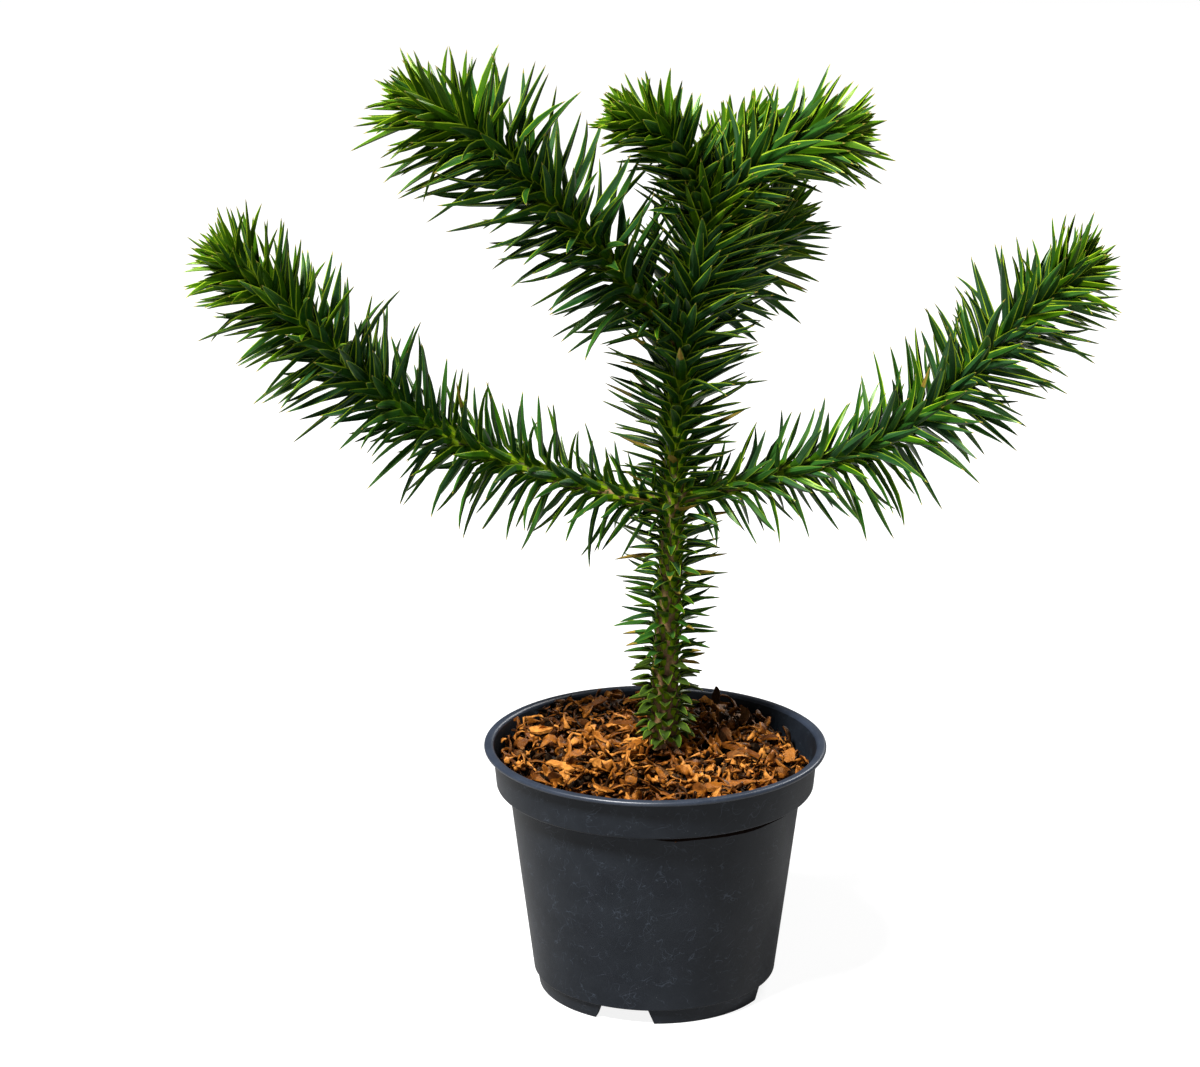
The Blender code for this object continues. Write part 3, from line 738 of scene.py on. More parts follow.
set_materials(bed, BED_SOIL_AND_SHADE)
finish_piece(bed, ["potting_mix"])

# %% [markdown]
# A shred starts as a small square face that is drawn out along X in a few steps, each with a size
# of its own. Simple Deform then twists it and bends it. The four families differ only in their
# numbers: curly fibres, splinters, flat flakes and crumbs.

# %% Modelling one shred
SHRED_FAMILIES = {  # length, width, thickness (mm), twist, bend (degrees), how many shapes
    "fibre": ((8, 17), (0.55, 1.1), (0.45, 0.75), (20, 200), (70, 260), 20),
    "splinter": ((8, 17), (1.0, 1.8), (0.5, 0.8), (0, 120), (20, 120), 12),
    "flake": ((5, 9), (2.2, 3.6), (0.5, 0.9), (0, 45), (20, 80), 8),
    "crumb": ((1.8, 3.4), (1.0, 1.8), (0.7, 1.3), (0, 20), (0, 20), 5),
}
SHRED_STEPS = {"fibre": 8, "splinter": 6, "flake": 5, "crumb": 2}
SHRED_DRIFT = (-0.2, 0.2)
SHRED_ENDS, SHRED_MIDDLES = (0.35, 0.3), (0.7, 1.2)
SECOND_BEND = 0.3
NARROW_FACE = 0.7


def deform(obj, method, axis, angle):
    modifier = obj.modifiers.new(method.lower(), "SIMPLE_DEFORM")
    modifier.deform_method = method
    modifier.deform_axis = axis
    modifier.angle = angle
    apply_modifiers(obj)


def model_shred(rng, length, width, thick, twist, bend, sizes):
    """A sliver drawn out along X, twisted and bent: points, faces and which ones are narrow."""
    deselect_all()
    bpy.ops.mesh.primitive_plane_add(size=1, rotation=(0, math.pi / 2, 0))
    shred = bpy.context.object
    shred.scale = (thick * 0.5, width * sizes[0], 1)
    shred.location.x = -length / 2
    apply_place(shred)
    edit(shred)
    bpy.ops.mesh.select_all(action="SELECT")
    place = -length / 2
    step = length / (len(sizes) - 1)
    for size, next_size in zip(sizes, sizes[1:]):
        place += step
        drift = (step, rng.uniform(*SHRED_DRIFT) * width, rng.uniform(*SHRED_DRIFT) * thick)
        grow = next_size / size
        extrude_to(drift, (1, grow, math.sqrt(grow)), (place, 0, 0))
    bpy.ops.mesh.select_all(action="SELECT")
    bpy.ops.mesh.normals_make_consistent(inside=False)
    leave_edit()
    narrow = [abs(face.normal.y) > NARROW_FACE for face in shred.data.polygons]
    for method, axis, span, part in (("TWIST", "X", twist, 1), ("BEND", "Z", bend, 1),
                                     ("BEND", "Y", bend, SECOND_BEND)):
        way = rng.choice((-1, 1))
        deform(shred, method, axis, way * math.radians(rng.uniform(*span)) * part)
    points = np.array([v.co[:] for v in shred.data.vertices])
    faces = [tuple(face.vertices) for face in shred.data.polygons]
    remove(shred)
    return points - points.mean(axis=0), faces, narrow


def model_family(name, rng):
    """All the shapes of one family of shreds."""
    lengths, widths, thicks, twist, bend, count = SHRED_FAMILIES[name]
    shapes = []
    for _ in range(count):
        size = [rng.uniform(*span) * MM for span in (lengths, widths, thicks)]
        middle = [rng.uniform(*SHRED_MIDDLES) for _ in range(SHRED_STEPS[name] - 1)]
        outline = [SHRED_ENDS[0]] + middle + [SHRED_ENDS[1]]
        shapes.append(model_shred(rng, *size, twist, bend, outline))
    return shapes


SHRED_RNG = random.Random(23)
SHREDS = {name: model_family(name, SHRED_RNG) for name in SHRED_FAMILIES}
print("shreds:", {name: (len(shapes), len(shapes[0][1])) for name, shapes in SHREDS.items()})

# %% [markdown]
# The shreds are laid on the bed in layers. Low ones lie flat and are mostly given dark tints, which
# are painted shade for the deep gaps; high ones are brighter and more tilted. One that would poke
# through the pot's wall, touch the trunk or stand too high is tried again elsewhere. The narrow
# sides of a shred get a paler tint than its broad ones: a painted highlight along its edges.

# %% Heaping the mulch
HEAP = {  # how many, smoothing angle (degrees), level from which a shred is bright
    "crumb": (130, 50, 0.46), "flake": (45, 50, 0.46),
    "splinter": (300, 100, 0.46), "fibre": (1350, 120, 0.56),
}
HEAP_THICKNESS = 0.0070
HEAP_TOP = POT_HEIGHT + 0.0032
LOW_LAYERS = 1.3
LOWEST_TILT, MORE_TILT, ROLL_SHARE = 0.20, 0.32, 1.4
BRIGHT_SCATTER = 0.14
SHRED_SCALES = (0.8, 1.15)
WALL_DRAFT, WALL_GAP = 0.05, 0.0006
TRUNK_PLACE = (0.0035, 0.0)
TRUNK_KEEP_OUT = 0.0042
# tints by number, of high shreds, of low shreds (mostly dark: painted shade), and of the narrow
# sides for each tint (paler: painted highlight)
TINTS_HIGH = (0, 0, 3, 1, 1, 2, 1, 2, 4)
TINTS_LOW_PAINTED_SHADE = (4, 5, 2, 5, 4, 5)
EDGE_TINTS_PAINTED_HIGHLIGHT = (3, 0, 0, 3, 2, 5)


def inside_pot(points):
    """Whether a shred stays in the pot, under the heap's top and off the trunk."""
    radius = np.hypot(points[:, 0], points[:, 1])
    wall = POT_BAND_RADIUS - POT_WALL + (points[:, 2] - POT_BAND_FOOT) * WALL_DRAFT
    trunk = np.hypot(points[:, 0] - TRUNK_PLACE[0], points[:, 1] - TRUNK_PLACE[1])
    if (points[:, 2] > HEAP_TOP).any() or (trunk < TRUNK_KEEP_OUT).any():
        return False
    return (radius < wall - WALL_GAP).all()


def lie(points, rng, x, y, height, tilt):
    """A copy of the shred's points, turned and laid at a place."""
    turn = (Matrix.Rotation(rng.uniform(0, math.tau), 3, "Z")
            @ Matrix.Rotation(rng.gauss(0, tilt), 3, "Y")
            @ Matrix.Rotation(rng.gauss(0, tilt * ROLL_SHARE), 3, "X"))
    return points @ np.array(turn).T * rng.uniform(*SHRED_SCALES) + (x, y, height)


def laid_family(name, count, bright_from, rng):
    """Copies of one family's shreds in their places: points, faces, narrow faces and tint."""
    laid = []
    while len(laid) < count:
        shape, faces, narrow = rng.choice(SHREDS[name])
        radius = MIX_RADIUS * math.sqrt(rng.random())
        turn = rng.uniform(0, math.tau)
        x, y = radius * math.cos(turn), radius * math.sin(turn)
        level = rng.random() ** LOW_LAYERS
        height = bed_height(x, y) + HEAP_THICKNESS * level
        copy = lie(shape, rng, x, y, height, LOWEST_TILT + MORE_TILT * level)
        # a shred low in the heap mostly takes the dark tints: painted shade in the gaps
        bright = rng.gauss(level, BRIGHT_SCATTER) > bright_from
        tint = rng.choice(TINTS_HIGH if bright else TINTS_LOW_PAINTED_SHADE)
        if inside_pot(copy):
            laid.append((copy, faces, narrow, tint))
    return laid


def heap_piece(name, laid, degrees):
    """One mesh of many shreds."""
    all_faces, slots, base = [], [], 0
    for points, faces, narrow, tint in laid:
        all_faces += [tuple(base + v for v in face) for face in faces]
        # narrow faces take a paler tint: a painted highlight along the shred's edges
        slots += [EDGE_TINTS_PAINTED_HIGHLIGHT[tint] if thin else tint for thin in narrow]
        base += len(points)
    all_points = np.vstack([shred[0] for shred in laid]).tolist()
    heap = piece_from_arrays(name, all_points, all_faces, BARK_TINTS, slots)
    smooth_by_angle(heap, degrees)
    finish_piece(heap, [])


HEAP_RNG = random.Random(31)
for name, (count, degrees, bright_from) in HEAP.items():
    heap_piece("mulch_" + name + "s", laid_family(name, count, bright_from, HEAP_RNG), degrees)

# %% [markdown]
# Eighteen chips are big enough to be known by their place: a long stick at the right, a broad
# sliver in front of the trunk, two that stand upright at the back. Each is drawn out like a
# shred, with an outline of its own.

# %% Big chips
OVAL = (0.30, 0.72, 0.95, 1.0, 0.92, 0.66, 0.25)
SLAB = (0.85, 1.0, 0.96, 1.04, 0.97, 1.0, 0.80)
STICK = (0.35, 0.8, 1.0, 0.85, 0.95, 1.1, 0.8, 0.75, 0.5, 0.22)
LUMP = (0.55, 1.0, 0.8, 1.1, 0.6)
# x, y (mm), length, width, thickness (mm), turn, tilt, roll (degrees), tint, outline
BIG_CHIPS = [
    (-44, 10, 10.0, 4.2, 1.3, 8, 4, 12, 3, OVAL),
    (-35.7, -20, 12.6, 3.3, 1.6, -42, 3, 8, 3, SLAB),
    (-31, -1, 7.5, 4.6, 1.2, 55, 10, -15, 0, LUMP),
    (-29, -10.5, 7.5, 4.0, 1.0, 20, -8, 20, 0, OVAL),
    (-12.5, 17, 9.0, 3.6, 1.2, -20, 8, 10, 1, LUMP),
    (-8.5, -4, 8.0, 3.6, 1.6, 25, 12, 15, 0, LUMP),
    (5, -7.2, 12.0, 3.6, 1.0, 4, -4, 25, 2, OVAL),
    (24.5, 46, 8.0, 3.2, 1.0, 80, 78, 0, 4, OVAL),
    (34, 28, 8.0, 3.4, 1.0, 70, 70, 10, 2, OVAL),
    (32, -1, 31.0, 2.9, 1.5, -50, 3, 10, 1, STICK),
    (27, -29, 22.0, 4.4, 1.4, 14, 2, 8, 0, STICK),
    (5.5, -46, 6.5, 4.0, 1.2, 10, 0, 10, 3, OVAL),
    (51, -1, 6.5, 4.4, 1.0, 60, 35, 20, 0, OVAL),
    (-50, -2, 6.0, 3.2, 1.0, 75, 25, 10, 1, OVAL),
    (-22, 36, 10.0, 2.6, 1.1, 30, 18, 20, 1, STICK),
    (-8, 40, 9.0, 2.6, 1.0, -25, 22, 10, 0, STICK),
    (44, 14, 9.0, 3.0, 1.0, -35, 14, 15, 2, OVAL),
    (-20, -38, 9.0, 2.8, 1.0, 150, 8, 10, 0, STICK),
]
CHIP_LIFT, CHIP_RISE = 0.0066, 0.3
CHIP_TWIST, CHIP_BEND = (5, 25), (10, 35)
CHIP_SMOOTHING = 50


def big_chip(rng, x, y, length, width, thick, turn, tilt, roll, tint, outline):
    """The chip in its place: points, faces, narrow faces and tint."""
    points, faces, narrow = model_shred(rng, length * MM, width * MM, thick * MM, CHIP_TWIST,
                                        CHIP_BEND, outline)
    turned = (Matrix.Rotation(math.radians(turn), 3, "Z")
              @ Matrix.Rotation(-math.radians(tilt), 3, "Y")
              @ Matrix.Rotation(math.radians(roll), 3, "X"))
    x, y = x * MM, y * MM
    rise = CHIP_LIFT + CHIP_RISE * length * MM * math.sin(math.radians(tilt))
    laid = points @ np.array(turned).T + (x, y, bed_height(x, y) + rise)
    return laid, faces, narrow, tint


CHIP_RNG = random.Random(77)
heap_piece("mulch_big_chips", [big_chip(CHIP_RNG, *chip) for chip in BIG_CHIPS], CHIP_SMOOTHING)

# %% [markdown]
# ## The limbs
#
# Trunk, boughs and shoots are smooth curves through a few chosen points, as in the solids. A limb
# knows its centre line, its thickness and its direction at any distance along it. Everything that
# grows on the plant is placed with these.

# %% Limb knots
TRUNK_FOOT = 0.0951
LIMB_KNOTS = {
    "trunk": ((0.0035, 0, TRUNK_FOOT), (0.0040, 0, 0.130), (0.0055, 0, 0.1655),
              (0.0066, 0.0005, 0.200), (0.0085, 0.001, 0.2345), (0.0125, 0.0015, 0.268),
              (0.0190, 0.002, 0.300)),
    "lower_left": ((0.0068, 0, 0.189), (-0.0315, -0.0045, 0.2015), (-0.069, -0.009, 0.216),
                   (-0.1025, -0.013, 0.2385), (-0.131, -0.0175, 0.2665),
                   (-0.1530, -0.0210, 0.2870)),
    "lower_right": ((0.0068, 0, 0.193), (0.043, 0.0035, 0.201), (0.078, 0.007, 0.211),
                    (0.108, 0.011, 0.230), (0.133, 0.0145, 0.2565), (0.1555, 0.018, 0.2760)),
    "upper_left": ((0.0098, 0.001, 0.2525), (-0.0145, -0.0065, 0.281), (-0.038, -0.013, 0.308),
                   (-0.0620, -0.0190, 0.332), (-0.0840, -0.024, 0.3465)),
    "top_right": ((0.0190, 0.002, 0.300), (0.0335, 0.0025, 0.3175), (0.049, 0.0035, 0.3260),
                  (0.064, 0.004, 0.3295)),
    "top_left": ((0.0175, 0.0015, 0.296), (0.0115, -0.0045, 0.318), (0.003, -0.0095, 0.3315),
                 (-0.0075, -0.0130, 0.3385)),
    "top_back": ((0.0180, 0.002, 0.298), (0.0215, 0.011, 0.312), (0.0275, 0.021, 0.3215),
                 (0.036, 0.030, 0.327)),
    "back_right": ((0.0120, 0.001, 0.265), (0.0235, 0.012, 0.274), (0.0345, 0.0235, 0.283),
                   (0.0445, 0.0335, 0.291)),
}
STEM_RADII = {
    "trunk": (0.0053, 0.0046, 0.0041, 0.0038, 0.0037, 0.0036, 0.0036),
    "lower_left": (0.0031, 0.0029, 0.0027, 0.0025, 0.0021, 0.0010),
    "lower_right": (0.0031, 0.0029, 0.0027, 0.0025, 0.0021, 0.0010),
    "upper_left": (0.0034, 0.0031, 0.0028, 0.0026, 0.0021, 0.0010),
    "top_right": (0.0032, 0.0029, 0.0027, 0.0023, 0.0010),
    "top_left": (0.0031, 0.0029, 0.0026, 0.0022, 0.0010),
    "top_back": (0.0030, 0.0027, 0.0023, 0.0019, 0.0009),
    "back_right": (0.0031, 0.0028, 0.0024, 0.0020, 0.0010),
}
print("limbs:", list(LIMB_KNOTS))

# %% Limb curves
CURVE_STEPS = 12
DIRECTION_REACH = 0.002875
NEARLY_UPRIGHT = 0.95


def smooth_curve(knots):
    """A Catmull-Rom curve through the knots, as an array of points."""
    knots = np.array(knots, dtype=float)
    knots = np.vstack([2 * knots[0] - knots[1], knots, 2 * knots[-1] - knots[-2]])
    points = []
    for a, b, c, d in zip(knots, knots[1:], knots[2:], knots[3:]):
        for t in np.arange(CURVE_STEPS) / CURVE_STEPS:
            points.append(0.5 * (2 * b + (c - a) * t + (2 * a - 5 * b + 4 * c - d) * t ** 2
                                 + (3 * b - a - 3 * c + d) * t ** 3))
    points.append(knots[-2])
    return np.array(points)


class Limb:
    """A limb's centre line by distance along it, with a frame at any place."""

    def __init__(self, name):
        self.name = name
        self.dense = smooth_curve(LIMB_KNOTS[name])
        steps = np.linalg.norm(np.diff(self.dense, axis=0), axis=1)
        self.dense_along = np.r_[0, np.cumsum(steps)]
        self.length = self.dense_along[-1]
        self.radii = STEM_RADII[name]
        start = self.direction(0)
        guide = Vector((0, 1, 0)) if start.z > NEARLY_UPRIGHT else Vector((0, 0, 1))
        self.up = (guide - start * guide.dot(start)).normalized()

    def point(self, s):
        return Vector([np.interp(s, self.dense_along, self.dense[:, k]) for k in range(3)])

    def direction(self, s):
        before, after = max(s - DIRECTION_REACH, 0), min(s + DIRECTION_REACH, self.length)
        return (self.point(after) - self.point(before)).normalized()

    def radius(self, s):
        return float(np.interp(s / self.length, np.linspace(0, 1, len(self.radii)), self.radii))

    def frame(self, s):
        """Tangent, side and up at s."""
        tangent = self.direction(s)
        up = (self.up - tangent * self.up.dot(tangent)).normalized()
        return tangent, up.cross(tangent), up


LIMBS = {name: Limb(name) for name in LIMB_KNOTS}
for limb in LIMBS.values():
    print(limb.name, round(limb.length / MM, 1), "mm long")

# %% [markdown]
# ## One leaf
#
# A monkey puzzle leaf is a stiff blade about six times as long as it is wide, folded to a shallow
# V, keeled underneath, edged with a pale line and drawn out to a spine. It has no stalk: its foot
# is nearly as wide as the blade and clasps the stem. The leaf could be a picture on a card, but
# then its edge and its keel would be missing from every side view. So one blade is drawn out like
# the pot: a flat eight-cornered section is extruded from station to station, and resized to the
# leaf's outline.

# %% Leaf blade
LEAF_STATIONS = (0.0, 0.07, 0.13, 0.26, 0.44, 0.65, 0.84, 0.95)
LEAF_OUTLINE = (0.45, 0.74, 0.86, 1.0, 0.97, 0.74, 0.40, 0.15)
LEAF_SECTION = ((0, -0.26), (0.88, -0.04), (1.0, 0.05), (0.85, 0.06), (0, 0.0))
SECTION_SQUASH = 0.8


def place_section(obj, half_section):
    """Move a polygon's corners, in the YZ plane, to a section that is the same left and right."""
    mirrored = [(-y, z) for y, z in half_section[-2:0:-1]]
    targets = list(half_section) + mirrored
    mesh = bmesh.from_edit_mesh(obj.data)
    corners = sorted(mesh.verts, key=lambda v: math.atan2(v.co.z, v.co.y))
    first = min(range(len(corners)), key=lambda k: corners[k].co.z)
    for k, (across, height) in enumerate(targets):
        vertex = corners[(first + k) % len(corners)]
        bpy.ops.mesh.select_all(action="DESELECT")
        vertex.select = True
        mesh.select_flush_mode()
        bmesh.update_edit_mesh(obj.data)
        bpy.ops.transform.translate(value=(0, across - vertex.co.y, height - vertex.co.z))


def model_leaf():
    """A leaf of unit length and unit half width, straight along +X."""
    deselect_all()
    bpy.ops.mesh.primitive_circle_add(vertices=8, radius=1, fill_type="NGON",
                                      rotation=(math.pi / 2, 0, math.pi / 2))
    leaf = bpy.context.object
    leaf.name = "leaf_blade"
    apply_place(leaf)
    edit(leaf, "VERT")
    place_section(leaf, LEAF_SECTION)
    bpy.ops.mesh.select_mode(type="FACE")
    bpy.ops.mesh.select_all(action="SELECT")
    width = LEAF_OUTLINE[0]
    bpy.ops.transform.resize(value=(1, width, SECTION_SQUASH), center_override=(0, 0, 0))
    for here, there, next_width in zip(LEAF_STATIONS, LEAF_STATIONS[1:], LEAF_OUTLINE[1:]):
        scale = next_width / width
        extrude_to((there - here, 0, 0), (1, scale, math.sqrt(scale)), (there, 0, 0))
        width = next_width
    last_step = {"value": (1 - LEAF_STATIONS[-1], 0, 0)}
    bpy.ops.mesh.extrude_region_move(TRANSFORM_OT_translate=last_step)
    bpy.ops.mesh.merge(type="CENTER")
    leave_edit()
    face_outwards(leaf)
    return leaf


leaf = model_leaf()
print("leaf:", len(leaf.data.vertices), "points,", len(leaf.data.polygons), "faces")

# %% [markdown]
# The blade's colours have a place: a pale margin line, a bright foot, a greener shoulder and a
# brown spine. They are dealt out by face, so that they stay sharp at any size.

# %% Colour places on the leaf
BLADE, MARGIN, FOOT, SHOULDER, SPINE, TIP = range(6)
FOOT_TO, SHOULDER_TO, TIP_FROM, SPINE_FROM = 0.18, 0.32, 0.6, 0.955


def outline_at(t):
    """The leaf's half width at the share t of its length."""
    return float(np.interp(t, LEAF_STATIONS + (1.0,), LEAF_OUTLINE + (0.001,)))


def colour_place(face):
    """Which part of the leaf a face belongs to."""
    along = face.center.x
    middle = abs(face.center.y) / outline_at(along)
    if along > SPINE_FROM:
        return SPINE
    if middle > LEAF_SECTION[3][0]:
        return MARGIN
    if along < FOOT_TO:
        return FOOT
    if along < SHOULDER_TO:
        return SHOULDER
    return BLADE if along < TIP_FROM else TIP


LEAF_POINTS = np.array([v.co[:] for v in leaf.data.vertices])
LEAF_FACES = [tuple(face.vertices) for face in leaf.data.polygons]
LEAF_PLACES = np.array([colour_place(face) for face in leaf.data.polygons])
remove(leaf)
print("faces by place:", np.bincount(LEAF_PLACES))

# %% [markdown]
# ## Leaf finishes
#
# Old leaves are a deep blue-green with a waxy bloom, this year's are a fresh yellow-green. Five
# blade finishes run from old to young. Margins, feet and spines have finishes of their own, and so
# have the weathered leaves at the trunk's foot and the few leaves that have dried. Fine veins run
# the length of the blade: a noise stretched along the leaf's own UV map streaks the colour and
# gives the bump. The pale streaks are the waxy bloom, painted paler as a sheen.

# %% Leaf veins
def make_vein_group():
    """Lengthwise streaks, from the leaf's UV map: U across the blade, V along it."""
    group, start, end = new_group(
        "leaf_veins", [("Count", "NodeSocketFloat", 9.0), ("Wander", "NodeSocketFloat", 0.6)],
        [("Streaks", "NodeSocketFloat"), ("Height", "NodeSocketFloat")])
    place = node(group, "ShaderNodeUVMap", uv_map="blade").outputs["UV"]
    stretch = node(group, "ShaderNodeCombineXYZ", Z=1.0)
    group.links.new(start.outputs["Count"], stretch.inputs["X"])
    group.links.new(start.outputs["Wander"], stretch.inputs["Y"])
    squeezed = product(group, place, stretch.outputs[0], "ShaderNodeVectorMath")
    level = noise_level(group, squeezed, 1.0, Detail=3.0)
    group.links.new(ranged(group, level, 0.42, 0.68), end.inputs["Streaks"])
    group.links.new(level, end.inputs["Height"])
    return group


VEINS = make_vein_group()
print("node group:", VEINS.name)

# %% Leaf finish
def leaf_finish(name, colour, shade, bloom_and_sheen, roughness=0.33, specular=0.26, streak=0.30,
                gloss=(0.72, 1.0, 0.30)):
    """A waxy leaf surface. The third colour is the pale colour of the streaks: a waxy bloom with a
    painted sheen. gloss tints its shine.
    """
    material = new_finish(name, colour, shade, 140.0, 0.55, roughness, specular,
                          (1500.0, 200.0, 0.4), (0.06, 0.0002))
    tree, shader = material.node_tree, shader_of(material)
    shader.inputs["Specular Tint"].default_value = four(gloss)
    tone = fed_by(shader.inputs["Base Color"])
    veins = place_group(tree, VEINS, Count=8.0, Wander=0.5)
    amount = ranged(tree, veins.outputs["Streaks"], 0.0, 1.0, 0.0, streak)
    tree.links.new(mixed(tree, amount, tone, four(bloom_and_sheen)), shader.inputs["Base Color"])
    grooves = node(tree, "ShaderNodeBump", Strength=0.5, Distance=0.0003)
    tree.links.new(veins.outputs["Height"], grooves.inputs["Height"])
    tree.links.new(fed_by(shader.inputs["Normal"]), grooves.inputs["Normal"])
    tree.links.new(grooves.outputs["Normal"], shader.inputs["Normal"])
    return material


print("a leaf finish adds", VEINS.name, "to the uneven tone")

# %% Leaf colours
# The third colour of each finish is the streaks': waxy bloom, painted paler as a sheen.
BLADE_FINISHES = [
    leaf_finish("leaf_deep", (0.0090, 0.046, 0.0080), (0.002, 0.014, 0.003), (0.056, 0.118, 0.050),
                streak=0.42, gloss=(0.76, 1.0, 0.62)),
    leaf_finish("leaf_old", (0.0130, 0.062, 0.0055), (0.003, 0.020, 0.002), (0.060, 0.142, 0.032),
                streak=0.38, gloss=(0.74, 1.0, 0.50)),
    leaf_finish("leaf_green", (0.018, 0.071, 0.0022), (0.004, 0.025, 0.001), (0.062, 0.165, 0.010),
                streak=0.35),
    leaf_finish("leaf_fresh", (0.023, 0.073, 0.0010), (0.006, 0.028, 0.001), (0.067, 0.165, 0.005)),
    leaf_finish("leaf_young", (0.031, 0.082, 0.0008), (0.008, 0.032, 0.001), (0.08, 0.18, 0.005)),
]
MARGIN_OLD = leaf_finish("leaf_margin_old", (0.095, 0.170, 0.011), (0.04, 0.08, 0.006),
                         (0.14, 0.20, 0.02))
MARGIN_GREEN = leaf_finish("leaf_margin_green", (0.225, 0.34, 0.014), (0.11, 0.18, 0.009),
                           (0.28, 0.36, 0.03))
MARGIN_YOUNG = leaf_finish("leaf_margin_young", (0.26, 0.39, 0.011), (0.13, 0.22, 0.007),
                           (0.32, 0.42, 0.03), streak=0.25)
LEAF_FOOT = leaf_finish("leaf_foot", (0.145, 0.235, 0.004), (0.050, 0.100, 0.003),
                        (0.24, 0.33, 0.012))
LEAF_SPINE = leaf_finish("leaf_spine", (0.22, 0.19, 0.03), (0.14, 0.11, 0.02), (0.3, 0.26, 0.06),
                         streak=0.1)
LEAF_DRY = leaf_finish("leaf_dry", (0.20, 0.125, 0.018), (0.085, 0.060, 0.010), (0.34, 0.25, 0.05),
                       roughness=0.6, specular=0.2)
LEAF_WEATHERED = leaf_finish("leaf_weathered", (0.022, 0.043, 0.006), (0.009, 0.018, 0.003),
                             (0.060, 0.092, 0.012), gloss=(0.80, 1.0, 0.25))
LEAF_FINISHES = BLADE_FINISHES + [MARGIN_OLD, MARGIN_GREEN, MARGIN_YOUNG, LEAF_FOOT, LEAF_SPINE,
                                  LEAF_DRY, LEAF_WEATHERED]
print("leaf finishes:", len(LEAF_FINISHES))

# %% [markdown]
# ## The spiral
#
# Leaves follow one spiral: each is turned by the golden angle from the last. The rule is the
# solids' own, carried on to more than four times as many leaves, and narrower ones. The tables
# give the leaf count of each limb, and then the leaf's length and its angle to the limb by the
# share of the limb that lies behind it. Towards a tip the leaves crowd.

# %% Leaf tables
GOLDEN_ANGLE = math.radians(137.508)
LEAF_COUNTS = {"trunk": 480, "lower_left": 420, "lower_right": 410, "upper_left": 275,
               "top_right": 175, "top_left": 150, "top_back": 130, "back_right": 175}
BOUGH_LENGTHS = ((0, 0.0165), (0.15, 0.0210), (0.3, 0.0260), (0.6, 0.0295), (0.8, 0.0290),
                 (0.94, 0.0260), (0.98, 0.0220), (1, 0.0130))
LEAF_LENGTHS = {
    "trunk": ((0, 0.0060), (0.10, 0.0078), (0.17, 0.0110), (0.23, 0.0150), (0.375, 0.0175),
              (0.5, 0.0215), (0.62, 0.0270), (0.75, 0.030), (0.9, 0.030), (1, 0.028)),
    "lower_left": BOUGH_LENGTHS,
    "lower_right": BOUGH_LENGTHS,
    "upper_left": ((0, 0.027), (0.25, 0.0325), (0.6, 0.0345), (0.85, 0.0335), (0.93, 0.0290),
                   (0.97, 0.0240), (1, 0.0140)),
    "top_right": ((0, 0.023), (0.5, 0.0265), (0.8, 0.0270), (0.92, 0.0230), (1, 0.0130)),
    "top_left": ((0, 0.0195), (0.5, 0.0220), (0.8, 0.0220), (0.92, 0.0200), (1, 0.0125)),
    "top_back": ((0, 0.018), (0.5, 0.0190), (0.8, 0.0190), (0.92, 0.0175), (1, 0.0120)),
    "back_right": ((0, 0.026), (0.5, 0.0285), (0.8, 0.0270), (0.92, 0.0230), (1, 0.0130)),
}
BOUGH_ANGLES = ((0, 66), (0.6, 64), (0.84, 58), (0.93, 50), (0.98, 38), (1, 12))
LEAF_ANGLES = {
    "trunk": ((0, 122), (0.06, 106), (0.13, 90), (0.25, 83), (0.375, 78), (0.625, 70), (0.75, 62),
              (0.875, 56), (1, 48)),
    "lower_left": BOUGH_ANGLES,
    "lower_right": BOUGH_ANGLES,
    "upper_left": ((0, 68), (0.6, 65), (0.82, 58), (0.92, 48), (0.97, 36), (1, 12)),
    "top_right": ((0, 54), (0.5, 47), (0.8, 42), (0.92, 33), (1, 10)),
    "top_left": ((0, 54), (0.5, 47), (0.8, 42), (0.92, 33), (1, 10)),
    "top_back": ((0, 54), (0.5, 46), (0.8, 42), (0.92, 33), (1, 10)),
    "back_right": ((0, 60), (0.5, 52), (0.8, 45), (0.92, 35), (1, 12)),
}
TIP_CROWDING = {"trunk": 1.2}
TIP_CROWDING_ELSEWHERE = 1.55
BOUGHS = ("lower_left", "lower_right", "upper_left")
CROWN_LIMBS = ("top_right", "top_left", "top_back", "back_right")


def by_share(table, share):
    """Read a table of (share, value) between its rows."""
    return float(np.interp(share, [row[0] for row in table], [row[1] for row in table]))


def leaf_share(name, k):
    """How far along its limb the leaf number k stands, from 0 to 1."""
    power = TIP_CROWDING.get(name, TIP_CROWDING_ELSEWHERE)
    return 1 - (1 - (k + 0.5) / LEAF_COUNTS[name]) ** power


print("leaves by the tables:", sum(LEAF_COUNTS.values()))

# %% [markdown]
# A leaf's foot lies on the stem like a shingle, and then the leaf bends outwards to its own angle.
# The straight blade's points are carried over to that bent line. The foot wraps round the stem, the
# rest of the blade folds to a V, and old leaves on the underside of a bough hang a little.

# %% Bending a leaf onto its stem
FOOT_ANGLE = math.radians(3)
FOOT_PLACE = 0.13
FOOT_LENGTH = {"trunk": 0.0044}
FOOT_LENGTH_ELSEWHERE = 0.0046
FOOT_DEPTH, FOOT_RISE = 0.0007, 0.0001
FOOT_OVERLAP = 0.85
FOOT_SKIN, FOOT_WRAP_LIMIT = 0.0004, 1.3
TURN_FROM, SURFACED_AT, WRAPPED_TO = 0.55, 0.7, 0.7  # shares of the foot
